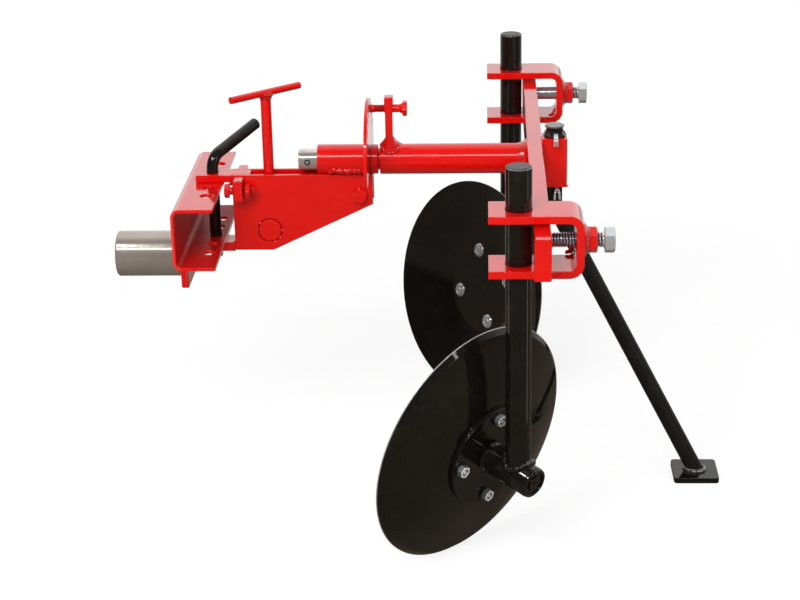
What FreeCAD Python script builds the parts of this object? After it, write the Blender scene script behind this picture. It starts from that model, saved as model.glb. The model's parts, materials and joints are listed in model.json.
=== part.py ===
"""Twin disc ridger for a walk-behind tractor, built from named sizes in millimetres.

Frame: the front (coupling end) faces -X, the stand is at +X, Z is up.
The near side is -Y and the far side is +Y.  The pivot axis is the line
that heights are measured from; floor_lift raises it so that the discs and the
stand foot rest on Z = 0, and centre moves the machine to the middle on X.
"""
import FreeCAD
import Part
import Sketcher as sketcher

import math
import os

Vector = FreeCAD.Vector
Rotation = FreeCAD.Rotation
X_AXIS = Vector(1, 0, 0)
Y_AXIS = Vector(0, 1, 0)
Z_AXIS = Vector(0, 0, 1)

doc = FreeCAD.newDocument("disc_ridger")
sheet = doc.addObject("Spreadsheet::Sheet", "Sizes")

# ---------------------------------------------------------------- sizes (mm, degrees)
SIZES = [
    # toolbar
    ("bar_thick", 25.0, "flat toolbar, along X"),
    ("bar_high", 65.0, "flat toolbar, along Z"),
    ("bar_long", 1020.0, "flat toolbar, along Y"),
    ("post_dia", 40.0, "round disc posts"),
    ("post_gap", 1.2, "daylight between post and toolbar"),
    ("post_spacing", 836.0, "post axis to post axis"),
    ("post_top", 115.0, "post top above the pivot axis"),
    ("fit_gap", 0.08, "radial gap of a turning fit"),
    ("seat_gap", 0.3, "gap between pieces that sit together"),
    # post clamps
    ("strap_wide", 75.0, "clamp strap, along Y"),
    ("strap_thick", 12.0, "clamp strap thickness"),
    ("strap_over", 25.0, "strap beyond the post axis, beyond the post radius"),
    ("strap_room", 4.0, "free height above and below the toolbar in the clamp"),
    ("strap_back", 38.0, "free length behind the toolbar in the clamp"),
    ("strap_bend", 10.0, "inside bend radius of the strap"),
    ("bolt_dia", 24.0, "clamp bolt thread"),
    ("bolt_flats", 36.0, "clamp bolt head and nut across flats"),
    ("bolt_head", 15.0, "clamp bolt head height"),
    ("nut_high", 20.0, "clamp nut height"),
    ("bolt_neck", 11.0, "bolt shank that shows between nut and head"),
    # pivot
    ("tube_dia", 51.0, "pivot tube and sleeve outside"),
    ("shaft_dia", 36.0, "pivot shaft, thick-walled tube"),
    ("shaft_bore", 22.0, "bore of the pivot shaft"),
    ("tube_long", 247.0, "tube welded on the toolbar"),
    ("shaft_front", 385.0, "shaft front end from the toolbar"),
    ("collar_gap", 3.0, "bare shaft between tube and collar"),
    ("collar_long", 13.2, "shaft collar"),
    ("collar_dia", 50.0, "shaft collar outside"),
    ("index_gap", 0.5, "running gap at the index plate"),
    ("index_thick", 6.0, "index plate"),
    ("index_radius", 103.0, "index plate outline"),
    ("index_pitch", 88.0, "hole circle of the index plate"),
    ("index_hole", 14.0, "holes of the index plate"),
    ("index_step", 15.0, "degrees between index holes"),
    ("sleeve_long", 83.0, "pivot sleeve"),
    ("pin_setback", 15.5, "shaft pin from the shaft front end"),
    ("pin_dia", 9.0, "shaft pin"),
    # index arm
    ("arm_thick", 14.0, "index arm along X"),
    ("arm_wide", 22.0, "index arm along Y"),
    ("arm_front", 9.0, "index arm from the tube front end"),
    ("arm_top", 109.0, "index arm top above the pivot axis"),
    ("plunger_dia", 13.0, "index bolt shank"),
    ("plunger_long", 55.0, "index bolt shank length"),
    ("plunger_flats", 24.0, "index bolt head across flats"),
    ("plunger_head", 8.0, "index bolt head height"),
    # hitch block
    ("side_gap", 28.0, "room between the side plates"),
    ("side_thick", 6.0, "side plate thickness"),
    ("side_top", 21.4, "side plate top edge below the pivot axis"),
    ("side_bottom", 155.0, "side plate bottom edge below the pivot axis"),
    ("side_front", 498.0, "side plate front edge from the toolbar"),
    ("side_rear", 260.0, "side plate rear edge from the toolbar"),
    ("side_kink", 432.0, "where the bottom edge starts to rise"),
    ("side_tail", 74.0, "rear edge lower end below the pivot axis"),
    ("cross_dia", 42.0, "cross pin"),
    ("cross_from_bar", 437.0, "cross pin axis from the toolbar"),
    ("cross_down", 119.5, "cross pin axis below the pivot axis"),
    ("cross_proud", 1.0, "cross pin beyond the side plate"),
    ("tee_dia", 18.0, "spindle of the tee handle"),
    ("tee_top", 116.5, "tee bar axis above the pivot axis"),
    ("tee_bar_dia", 12.0, "tee bar"),
    ("tee_bar_long", 144.0, "tee bar length"),
    ("tee_turn", 43.0, "tee bar heading, degrees from X"),
    ("tie_from_bar", 282.0, "tie bolt axis from the toolbar"),
    ("tie_down", 57.5, "tie bolt axis below the pivot axis"),
    ("tie_dia", 16.0, "tie bolt"),
    ("tie_flats", 24.0, "tie bolt head across flats"),
    ("tie_head", 9.0, "tie bolt head height"),
    # hinge between block and offset channel
    ("lug_thick_top", 12.5, "top lug"),
    ("lug_thick_low", 16.0, "bottom lug"),
    ("lug_reach", 62.0, "lugs forward of the side plates"),
    ("lug_tail", 30.0, "lug tongue between the side plates"),
    ("hinge_from_bar", 533.0, "hinge pin axis from the toolbar"),
    ("hinge_dia", 20.0, "hinge pin"),
    ("hinge_down", 172.0, "hinge pin lower end below the pivot axis"),
    ("hinge_handle_up", 4.0, "bend of the pin above the pivot axis"),
    ("hinge_handle_long", 124.0, "handle length from the pin axis"),
    ("hinge_handle_rise", 15.0, "handle above level, degrees"),
    ("hinge_handle_turn", 57.0, "handle heading, degrees from X"),
    ("hinge_bend", 26.0, "bend radius of the pin"),
    ("lug_gap", 0.5, "running gap above and below the channel"),
    # set screws
    ("set_block_back", 5.0, "set screw block behind the front of the side plates"),
    ("set_block_long", 15.0, "set screw block along X"),
    ("set_block_wide", 28.0, "set screw block along Y"),
    ("set_block_high", 37.0, "set screw block along Z"),
    ("set_axis_down", 44.0, "set screw axis below the pivot axis"),
    ("set_dia", 14.0, "set screw thread"),
    ("set_flats", 22.0, "set screw head across flats"),
    ("set_head", 8.0, "set screw head height"),
    ("set_tail", 19.0, "set screw behind the block"),
    ("set_clear", 4.2, "set screw head to channel"),
    # offset channel
    ("channel_high", 106.0, "offset channel height"),
    ("channel_wide", 69.5, "offset channel flange width"),
    ("channel_long", 330.0, "offset channel length"),
    ("channel_wall", 5.0, "offset channel wall"),
    ("channel_bend", 8.0, "offset channel inside bend"),
    ("channel_front", 583.0, "channel web front face from the toolbar"),
    ("channel_hole_step", 45.0, "distance between hinge holes in the channel"),
    # coupling spigot
    ("spigot_dia", 78.0, "coupling spigot outside"),
    ("spigot_wall", 4.0, "coupling spigot wall"),
    ("spigot_end", 6.0, "closed end of the coupling spigot"),
    ("spigot_down", 167.0, "spigot axis below the pivot axis"),
    ("spigot_front", 704.0, "spigot front end from the toolbar"),
    ("spigot_plate_front", 590.0, "spigot plate front face from the toolbar"),
    ("spigot_plate_thick", 12.0, "spigot plate"),
    ("spigot_plate_wide", 100.0, "spigot plate along Y"),
    ("spigot_plate_lip", 8.0, "spigot plate above the spigot, on the channel web"),
    ("spigot_plate_bottom", 215.0, "spigot plate lower edge below the pivot axis"),
    # discs
    ("disc_radius", 203.2, "disc rim"),
    ("disc_thick", 5.0, "disc plate"),
    ("disc_curve", 500.0, "ball radius of the disc"),
    ("disc_flat", 88.0, "flat centre radius"),
    ("disc_edge", 1.2, "rim thickness at the cutting edge"),
    ("disc_bevel", 9.0, "width of the rim bevel"),
    ("near_yaw", 46.7, "near disc axis from the toolbar direction, degrees"),
    ("far_yaw", 50.0, "far disc axis from the toolbar direction, degrees"),
    ("disc_tilt", 10.8, "disc axis dips outward, degrees"),
    ("disc_set", 66.0, "disc seat from the post axis along the disc axis"),
    ("disc_blank", 80.0, "block that the disc is turned from"),
    ("hub_down", 384.0, "disc axis at the post below the pivot axis"),
    ("bearing_dia", 50.0, "bearing tube"),
    ("bearing_out", 31.0, "bearing tube outward of the post axis"),
    ("bearing_cap", 5.0, "end cap height"),
    ("flange_radius", 84.0, "disc flange"),
    ("flange_thick", 8.0, "disc flange"),
    ("flange_neck", 8.0, "neck between flange and bearing"),
    ("spindle_dia", 25.0, "disc spindle"),
    ("bearing_gap", 0.6, "end gap of the bearing"),
    ("disc_pitch", 67.0, "bolt circle radius of the disc"),
    ("disc_bolt", 12.0, "disc bolt"),
    # stand
    ("stand_dia", 28.0, "stand rod and leg"),
    ("socket_size", 42.0, "square socket"),
    ("socket_top", 38.0, "socket top above the pivot axis"),
    ("socket_low", 46.0, "socket lower end below the pivot axis"),
    ("rod_top", 62.0, "stand rod top above the pivot axis"),
    ("rod_low", 82.0, "bend below the pivot axis"),
    ("leg_reach", 254.4, "foot centre from the rod"),
    ("leg_swing", -12.3, "leg heading, degrees from X"),
    ("foot_long", 78.0, "foot plate along X"),
    ("foot_wide", 78.0, "foot plate along Y"),
    ("foot_thick", 10.0, "foot plate"),
    ("ring_dia", 40.0, "collar on the stand rod"),
    ("ring_high", 9.0, "collar on the stand rod"),
]

for row, (name, value, note) in enumerate(SIZES, start=1):
    sheet.set("A%d" % row, name)
    sheet.set("B%d" % row, str(value))
    sheet.set("C%d" % row, note)
    sheet.setAlias("B%d" % row, name)
doc.recompute()

s = {name: float(value) for name, value, note in SIZES}


def rim_drop():
    """Lowest point of a disc rim below the hub point, for the floor height."""
    tilt = math.radians(s["disc_tilt"])
    ball = s["disc_curve"]
    dish = math.sqrt(ball ** 2 - s["disc_flat"] ** 2) - math.sqrt(ball ** 2 - s["disc_radius"] ** 2)
    along = s["disc_set"] + dish + s["disc_thick"] - s["disc_edge"]
    return s["disc_radius"] * math.cos(tilt) - along * math.sin(tilt)


# height of the pivot axis over the floor, and the shift that centres the machine on X
floor_lift = round(s["hub_down"] + rim_drop(), 4)
foot_rear = (
    s["bar_thick"] + s["socket_size"] / 2 + s["leg_reach"] * math.cos(math.radians(s["leg_swing"]))
    + s["foot_long"] / 2
)
centre = round((s["spigot_front"] - foot_rear) / 2, 4)
for row, (name, value, note) in enumerate((
    ("floor_lift", floor_lift, "pivot axis above the floor"),
    ("centre", centre, "toolbar front face from the middle of the machine"),
), start=len(SIZES) + 1):
    sheet.set("A%d" % row, name)
    sheet.set("B%d" % row, str(value))
    sheet.set("C%d" % row, note)
    sheet.setAlias("B%d" % row, name)
doc.recompute()

nodes = []


# ---------------------------------------------------------------- building helpers
def formula(text):
    """Turn size names in a formula into references to the sheet."""
    out = ""
    word = ""
    for letter in text + " ":
        if letter.isalnum() or letter == "_":
            word += letter
            continue
        if word in s or word in ("floor_lift", "centre"):
            word = "Sizes." + word
        out += word + letter
        word = ""
    return out.strip()


def bind(obj, **sizes):
    """Bind properties of an object to formulas over the sheet."""
    for prop, text in sizes.items():
        obj.setExpression(prop, formula(text))
    return obj


def put(obj, x="0", y="0", z="0", turn=None):
    """Place an object; x, y and z are formulas."""
    if turn is not None:
        obj.Placement = FreeCAD.Placement(Vector(0, 0, 0), turn)
    obj.setExpression("Placement.Base.x", formula("centre + (%s)" % x))
    obj.setExpression("Placement.Base.y", formula(y))
    obj.setExpression("Placement.Base.z", formula(z))
    return obj


def node(obj, label):
    """Name a finished piece."""
    obj.Label = label
    nodes.append(obj)
    return obj


def box(length, width, height, x, y, z):
    """A block with its low corner at x, y, z."""
    obj = doc.addObject("Part::Box", "block")
    bind(obj, Length=length, Width=width, Height=height)
    return put(obj, x, y, z)


TURN_TO = {
    "x": Rotation(Z_AXIS, X_AXIS),
    "y": Rotation(Z_AXIS, Y_AXIS),
    "z": Rotation(),
}


def rod(radius, height, x="0", y="0", z="0", along="z"):
    """A cylinder that starts at x, y, z and runs along an axis."""
    obj = doc.addObject("Part::Cylinder", "rod")
    bind(obj, Radius=radius, Height=height)
    return put(obj, x, y, z, TURN_TO[along])


def hexagon(flats, height, x, y, z, turn):
    """A six-sided prism that starts at x, y, z."""
    obj = doc.addObject("Part::Prism", "hexagon")
    obj.Polygon = 6
    bind(obj, Circumradius="(%s) / 2 / cos(30deg)" % flats, Height=height)
    return put(obj, x, y, z, turn)


def cut(base, *tools):
    """Subtract the tools from the base."""
    for tool in tools:
        obj = doc.addObject("Part::Cut", "cut")
        obj.Base = base
        obj.Tool = tool
        base = obj
    return base


def fuse(*shapes):
    """Join shapes into one solid."""
    obj = doc.addObject("Part::MultiFuse", "fuse")
    obj.Shapes = list(shapes)
    obj.Refine = True
    return obj


def common(base, tool):
    """Keep what two shapes share."""
    obj = doc.addObject("Part::Common", "common")
    obj.Base = base
    obj.Tool = tool
    return obj


def plate(label, plane, corners, thick, x="0", y="0", z="0", holes=()):
    """A plate cut from a sketched outline; corners and holes are formulas."""
    body = doc.addObject("PartDesign::Body", label)
    sketch = body.newObject("Sketcher::SketchObject", "outline")
    origin = [item for item in body.Origin.OriginFeatures if item.Role == plane][0]
    sketch.AttachmentSupport = [(origin, "")]
    sketch.MapMode = "FlatFace"
    count = len(corners)
    for index in range(count):
        angle_a = 2 * math.pi * index / count
        angle_b = 2 * math.pi * (index + 1) / count
        start = Vector(100 * math.cos(angle_a), 100 * math.sin(angle_a), 0)
        end = Vector(100 * math.cos(angle_b), 100 * math.sin(angle_b), 0)
        sketch.addGeometry(Part.LineSegment(start, end), False)
    for index in range(count):
        sketch.addConstraint(sketcher.Constraint("Coincident", index, 2, (index + 1) % count, 1))
    for index, (across, up) in enumerate(corners):
        across_id = sketch.addConstraint(sketcher.Constraint("DistanceX", -1, 1, index, 1, 1.0))
        sketch.setExpression("Constraints[%d]" % across_id, formula(across))
        up_id = sketch.addConstraint(sketcher.Constraint("DistanceY", -1, 1, index, 1, 1.0))
        sketch.setExpression("Constraints[%d]" % up_id, formula(up))
    for across, up, radius in holes:
        circle = sketch.addGeometry(Part.Circle(Vector(0, 0, 0), Z_AXIS, 5.0), False)
        across_id = sketch.addConstraint(sketcher.Constraint("DistanceX", -1, 1, circle, 3, 1.0))
        sketch.setExpression("Constraints[%d]" % across_id, formula(across))
        up_id = sketch.addConstraint(sketcher.Constraint("DistanceY", -1, 1, circle, 3, 1.0))
        sketch.setExpression("Constraints[%d]" % up_id, formula(up))
        radius_id = sketch.addConstraint(sketcher.Constraint("Radius", circle, 5.0))
        sketch.setExpression("Constraints[%d]" % radius_id, formula(radius))
    pad = body.newObject("PartDesign::Pad", "thickness")
    pad.Profile = sketch
    pad.setExpression("Length", formula(thick))
    pad.Midplane = True
    return put(body, x, y, z)


# ---------------------------------------------------------------- toolbar
lift = "floor_lift"
post_x = "-(post_dia / 2 + post_gap)"

bar = box("bar_thick", "bar_long", "bar_high", "0", "-bar_long / 2", "floor_lift - bar_high / 2")
node(bar, "toolbar_bar")

tube = cut(
    rod("tube_dia / 2", "tube_long", "-tube_long", "0", lift, "x"),
    rod("shaft_dia / 2 + seat_gap / 3", "tube_long", "-tube_long", "0", lift, "x"),
)
node(tube, "main_tube")

shaft = cut(
    rod("shaft_dia / 2", "shaft_front - seat_gap", "-shaft_front", "0", lift, "x"),
    rod("shaft_bore / 2", "shaft_front - seat_gap", "-shaft_front", "0", lift, "x"),
    rod("pin_dia / 2", "tube_dia", "pin_setback - shaft_front", "-tube_dia / 2", lift, "y"),
)
node(shaft, "pivot_shaft")

shaft_pin = rod(
    "pin_dia / 2 - 0.05", "shaft_dia + 6", "pin_setback - shaft_front", "-shaft_dia / 2 - 3", lift, "y"
)
node(shaft_pin, "shaft_pin")

collar_x = "-(tube_long + collar_gap + collar_long)"
collar = cut(
    rod("collar_dia / 2", "collar_long", collar_x, "0", lift, "x"),
    rod("shaft_dia / 2 + seat_gap / 3", "collar_long", collar_x, "0", lift, "x"),
)
node(collar, "shaft_collar")

arm_x = "-(tube_long - arm_front)"
arm = cut(
    box("arm_thick", "arm_wide", "arm_top", arm_x, "-arm_wide / 2", lift),
    rod("tube_dia / 2", "arm_thick", arm_x, "0", lift, "x"),
    rod("plunger_dia / 2 + 0.1", "arm_thick", arm_x, "0", "floor_lift + index_pitch", "x"),
)
node(arm, "index_arm")

plunger_x = "-(tube_long + collar_gap + collar_long)"
plunger = fuse(
    rod("plunger_dia / 2", "plunger_long", plunger_x, "0", "floor_lift + index_pitch", "x"),
    hexagon(
        "plunger_flats", "plunger_head", plunger_x + " + plunger_long", "0", "floor_lift + index_pitch",
        TURN_TO["x"],
    ),
)
node(plunger, "index_bolt")

# ---------------------------------------------------------------- post clamps
strap_in = "(bar_high / 2 + strap_room)"
strap_out = "(bar_high / 2 + strap_room + strap_thick)"
leg_in = "(bar_thick + strap_back)"
leg_out = "(bar_thick + strap_back + strap_thick)"
strap_front = "-(post_dia + post_gap + strap_over)"

for side, sign in (("near", "-"), ("far", "")):
    post_y = sign + "post_spacing / 2"
    low_y = post_y + " - strap_wide / 2"
    leg_long = leg_in + " - strap_bend + post_dia + post_gap + strap_over"
    upper = box(leg_long, "strap_wide", "strap_thick", strap_front, low_y, "floor_lift + " + strap_in)
    lower = box(leg_long, "strap_wide", "strap_thick", strap_front, low_y, "floor_lift - " + strap_out)
    back = box(
        "strap_thick", "strap_wide", "2 * (%s - strap_bend)" % strap_in,
        leg_in, low_y, "floor_lift - (%s - strap_bend)" % strap_in,
    )
    elbows = []
    for corner, turn in (("+", 0), ("-", -90)):
        outer = doc.addObject("Part::Cylinder", "bend_outer")
        bind(outer, Radius="strap_bend + strap_thick", Height="strap_wide")
        inner = doc.addObject("Part::Cylinder", "bend_inner")
        bind(inner, Radius="strap_bend", Height="strap_wide")
        for item in (outer, inner):
            item.Angle = 90
            quarter = Rotation(X_AXIS, 90).multiply(Rotation(Z_AXIS, turn))
            put(
                item, leg_in + " - strap_bend", low_y + " + strap_wide",
                "floor_lift %s (%s - strap_bend)" % (corner, strap_in), quarter,
            )
        elbows.append(cut(outer, inner))
    strap = cut(
        fuse(upper, lower, back, *elbows),
        rod("post_dia / 2 + fit_gap", "2 * " + strap_out, post_x, post_y, "floor_lift - " + strap_out),
        rod("bolt_dia / 2 + 0.1", "strap_thick", leg_in, post_y, lift, "x"),
    )
    node(strap, side + "_clamp_strap")
    nut = cut(
        hexagon("bolt_flats", "nut_high", leg_out, post_y, lift, TURN_TO["x"]),
        rod("bolt_dia / 2 + 0.1", "nut_high", leg_out, post_y, lift, "x"),
    )
    node(nut, side + "_clamp_nut")
    bolt = fuse(
        rod(
            "bolt_dia / 2", "strap_back + strap_thick + nut_high + bolt_neck - seat_gap",
            "bar_thick + seat_gap", post_y, lift, "x",
        ),
        hexagon(
            "bolt_flats", "bolt_head", leg_out + " + nut_high + bolt_neck", post_y, lift,
            Rotation(X_AXIS, 30).multiply(TURN_TO["x"]),
        ),
    )
    node(bolt, side + "_clamp_bolt")

# ---------------------------------------------------------------- hitch block
index_rear = "-(tube_long + collar_gap + collar_long + index_gap)"
index_front = "-(tube_long + collar_gap + collar_long + index_gap + index_thick)"
sleeve_x = "-(tube_long + collar_gap + collar_long + index_gap + index_thick + sleeve_long)"

sleeve = cut(
    rod("tube_dia / 2", "sleeve_long", sleeve_x, "0", lift, "x"),
    rod("shaft_dia / 2 + fit_gap", "sleeve_long", sleeve_x, "0", lift, "x"),
)
node(sleeve, "pivot_sleeve")

index_plate = common(
    rod("index_radius", "index_thick", index_front, "0", lift, "x"),
    box(
        "index_thick", "2 * index_radius", "index_radius + side_top",
        index_front, "-index_radius", "floor_lift - side_top",
    ),
)
index_tools = [rod("shaft_dia / 2 + fit_gap", "index_thick", index_front, "0", lift, "x")]
for step in range(-4, 5):
    swing = "%d * index_step * 1deg" % step
    index_tools.append(
        rod(
            "index_hole / 2", "index_thick", index_front,
            "index_pitch * sin(%s)" % swing, "floor_lift + index_pitch * cos(%s)" % swing, "x",
        )
    )
index_plate = cut(index_plate, *index_tools)
node(index_plate, "index_plate")

side_corners = [
    ("-side_front", "-side_top"),
    ("-side_front", "-side_bottom"),
    ("-side_kink", "-side_bottom"),
    ("-side_rear", "-side_tail"),
    ("-side_rear", "-side_top"),
]
side_holes = [
    ("-cross_from_bar", "-cross_down", "cross_dia / 2 + 0.1"),
    ("-tie_from_bar", "-tie_down", "tie_dia / 2 + 0.1"),
]
side_y = "(side_gap / 2 + side_thick / 2)"
node(plate("near_plate", "XZ_Plane", side_corners, "side_thick", "0", "-" + side_y, lift, side_holes),
     "near_side_plate")
node(plate("far_plate", "XZ_Plane", side_corners, "side_thick", "0", side_y, lift, side_holes),
     "far_side_plate")

side_out = "(side_gap / 2 + side_thick)"
cross_pin = cut(
    rod(
        "cross_dia / 2", "2 * (%s + cross_proud)" % side_out, "-cross_from_bar",
        "-(%s + cross_proud)" % side_out, "floor_lift - cross_down", "y",
    ),
    rod("tee_dia / 2 + 0.1", "2 * cross_dia", "-cross_from_bar", "0", "floor_lift - cross_down - cross_dia"),
)
node(cross_pin, "cross_pin")

tee_heading = Rotation(Z_AXIS, s["tee_turn"]).multiply(TURN_TO["x"])
tee_hole = doc.addObject("Part::Cylinder", "tee_hole")
bind(tee_hole, Radius="tee_bar_dia / 2 + 0.1", Height="tee_bar_long")
put(
    tee_hole, "-cross_from_bar - tee_bar_long / 2 * cos(tee_turn * 1deg)",
    "-tee_bar_long / 2 * sin(tee_turn * 1deg)", "floor_lift + tee_top", tee_heading,
)
tee_spindle = cut(
    rod(
        "tee_dia / 2", "cross_down + cross_dia / 2 + 4 + tee_top + tee_dia / 2", "-cross_from_bar", "0",
        "floor_lift - cross_down - cross_dia / 2 - 4",
    ),
    tee_hole,
)
node(tee_spindle, "tee_spindle")

tee_bar = doc.addObject("Part::Cylinder", "tee_bar")
bind(tee_bar, Radius="tee_bar_dia / 2", Height="tee_bar_long")
put(
    tee_bar, "-cross_from_bar - tee_bar_long / 2 * cos(tee_turn * 1deg)",
    "-tee_bar_long / 2 * sin(tee_turn * 1deg)", "floor_lift + tee_top", tee_heading,
)
node(tee_bar, "tee_bar")

tie_end = "(%s + tie_head)" % side_out
tie_bolt = fuse(
    rod(
        "tie_dia / 2", "2 * " + tie_end, "-tie_from_bar", "-" + tie_end, "floor_lift - tie_down", "y"
    ),
    hexagon(
        "tie_flats", "tie_head", "-tie_from_bar", "-" + side_out, "floor_lift - tie_down",
        Rotation(X_AXIS, 90),
    ),
    hexagon(
        "tie_flats", "tie_head", "-tie_from_bar", tie_end, "floor_lift - tie_down",
        Rotation(X_AXIS, 90),
    ),
)
node(tie_bolt, "tie_bolt")

# lugs that carry the hinge pin
channel_top = "(side_top + lug_thick_top + lug_gap)"
for label, top, thick in (
    ("top_lug", "side_top", "lug_thick_top"),
    ("bottom_lug", channel_top + " + channel_high + lug_gap", "lug_thick_low"),
):
    head = box(
        "lug_reach - seat_gap", "2 * " + side_out, thick, "-(side_front + lug_reach)", "-" + side_out,
        "floor_lift - (%s) - %s" % (top, thick),
    )
    tongue = box(
        "lug_reach + lug_tail", "side_gap - 2 * seat_gap", thick, "-(side_front + lug_reach)",
        "-(side_gap / 2 - seat_gap)", "floor_lift - (%s) - %s" % (top, thick),
    )
    lug = cut(
        fuse(head, tongue),
        rod(
            "hinge_dia / 2 + fit_gap", thick, "-hinge_from_bar", "0",
            "floor_lift - (%s) - %s" % (top, thick),
        ),
    )
    node(lug, label)

# hinge pin with a handle bent over and rising a little
rise = s["hinge_handle_rise"]
bend_reach = "(hinge_bend * tan((90 - hinge_handle_rise) / 2 * 1deg))"
bend_high = "floor_lift + hinge_handle_up - " + bend_reach
pin_low = rod(
    "hinge_dia / 2", "hinge_down + hinge_handle_up - " + bend_reach, "-hinge_from_bar", "0",
    "floor_lift - hinge_down",
)
heading = Rotation(Z_AXIS, s["hinge_handle_turn"])
bend = doc.addObject("Part::Torus", "pin_bend")
bind(bend, Radius1="hinge_bend", Radius2="hinge_dia / 2", Angle3="90 - hinge_handle_rise")
put(
    bend, "-hinge_from_bar + hinge_bend * cos(hinge_handle_turn * 1deg)",
    "hinge_bend * sin(hinge_handle_turn * 1deg)", bend_high,
    heading.multiply(Rotation(X_AXIS, 90)).multiply(Rotation(Z_AXIS, 90 + rise)),
)
handle_out = "(hinge_bend * (1 - sin(hinge_handle_rise * 1deg)))"
handle = doc.addObject("Part::Cylinder", "pin_handle")
bind(handle, Radius="hinge_dia / 2", Height="hinge_handle_long - " + bend_reach)
put(
    handle, "-hinge_from_bar + %s * cos(hinge_handle_turn * 1deg)" % handle_out,
    "%s * sin(hinge_handle_turn * 1deg)" % handle_out,
    bend_high + " + hinge_bend * cos(hinge_handle_rise * 1deg)",
    heading.multiply(Rotation(Y_AXIS, -rise)).multiply(TURN_TO["x"]),
)
node(fuse(pin_low, bend, handle), "hinge_pin")

# set screws that steady the channel
set_rear = "-(side_front - set_block_back - set_block_long)"
screw_long = (
    "channel_front - channel_wide - set_clear - side_front + set_block_back + set_block_long"
    " + set_tail"
)
for side, sign in (("near", "-"), ("far", "")):
    axis_y = sign + "(%s + set_block_wide / 2)" % side_out
    low_y = "-(%s + set_block_wide)" % side_out if side == "near" else side_out
    block = cut(
        box(
            "set_block_long", "set_block_wide", "set_block_high", "-side_front + set_block_back", low_y,
            "floor_lift - set_axis_down + 2 - set_block_high / 2",
        ),
        rod(
            "set_dia / 2 + 0.1", "set_block_long", "-side_front + set_block_back", axis_y,
            "floor_lift - set_axis_down", "x",
        ),
    )
    node(block, side + "_set_block")
    head_x = "-(channel_front - channel_wide - set_clear)"
    screw = fuse(
        rod("set_dia / 2", screw_long, head_x, axis_y, "floor_lift - set_axis_down", "x"),
        hexagon("set_flats", "set_head", head_x, axis_y, "floor_lift - set_axis_down", TURN_TO["x"]),
        hexagon(
            "set_flats + 2", "set_head", set_rear + " + 4", axis_y, "floor_lift - set_axis_down",
            TURN_TO["x"],
        ),
    )
    node(screw, side + "_set_screw")

# ---------------------------------------------------------------- offset channel and spigot
rim = "channel_long / 2"
outer_bend = "(channel_bend + channel_wall)"
channel_low = "floor_lift - %s - channel_high" % channel_top
web = box(
    "channel_wall", "channel_long", "channel_high - 2 * " + outer_bend, "-channel_front", "-" + rim,
    channel_low + " + " + outer_bend,
)
flange_long = "channel_wide - " + outer_bend
top_flange = box(
    flange_long, "channel_long", "channel_wall", "-channel_front + " + outer_bend, "-" + rim,
    channel_low + " + channel_high - channel_wall",
)
low_flange = box(
    flange_long, "channel_long", "channel_wall", "-channel_front + " + outer_bend, "-" + rim, channel_low
)
corners = []
for corner, turn in (("top", 90), ("low", 180)):
    outer = doc.addObject("Part::Cylinder", "channel_outer")
    bind(outer, Radius=outer_bend, Height="channel_long")
    inner = doc.addObject("Part::Cylinder", "channel_inner")
    bind(inner, Radius="channel_bend", Height="channel_long")
    height = channel_low + (" + channel_high - " if corner == "top" else " + ") + outer_bend
    for item in (outer, inner):
        item.Angle = 90
        quarter = Rotation(X_AXIS, 90).multiply(Rotation(Z_AXIS, turn))
        put(item, "-channel_front + " + outer_bend, rim, height, quarter)
    corners.append(cut(outer, inner))
channel = fuse(web, top_flange, low_flange, *corners)
for place in (-2, -1, 0, 1, 2):
    hole = rod(
        "hinge_dia / 2 + %s" % ("fit_gap" if place == 0 else "0.5"), "channel_high + 2", "-hinge_from_bar",
        "%d * channel_hole_step" % place, channel_low + " - 1",
    )
    channel = cut(channel, hole)
node(channel, "offset_channel")

spigot_plate = cut(
    box(
        "spigot_plate_thick", "spigot_plate_wide",
        "spigot_plate_bottom - spigot_down + spigot_dia / 2 + spigot_plate_lip",
        "-spigot_plate_front", "-spigot_plate_wide / 2", "floor_lift - spigot_plate_bottom",
    ),
    box(
        "spigot_plate_thick", "2 * spigot_plate_wide", "channel_high", "-channel_front",
        "-spigot_plate_wide", channel_low + " + " + outer_bend,
    ),
    box(
        "spigot_plate_thick + channel_wide", "2 * spigot_plate_wide", outer_bend + " + seat_gap",
        "-channel_front + " + outer_bend, "-spigot_plate_wide", channel_low + " - seat_gap",
    ),
    rod(
        outer_bend + " + seat_gap", "2 * spigot_plate_wide", "-channel_front + " + outer_bend,
        "-spigot_plate_wide", channel_low + " + " + outer_bend, "y",
    ),
)
node(spigot_plate, "spigot_plate")

spigot = cut(
    rod(
        "spigot_dia / 2", "spigot_front - spigot_plate_front - seat_gap", "-spigot_front", "0",
        "floor_lift - spigot_down", "x",
    ),
    rod(
        "spigot_dia / 2 - spigot_wall", "spigot_front - spigot_plate_front - seat_gap - spigot_end",
        "-spigot_front", "0", "floor_lift - spigot_down", "x",
    ),
)
node(spigot, "coupling_spigot")

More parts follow.
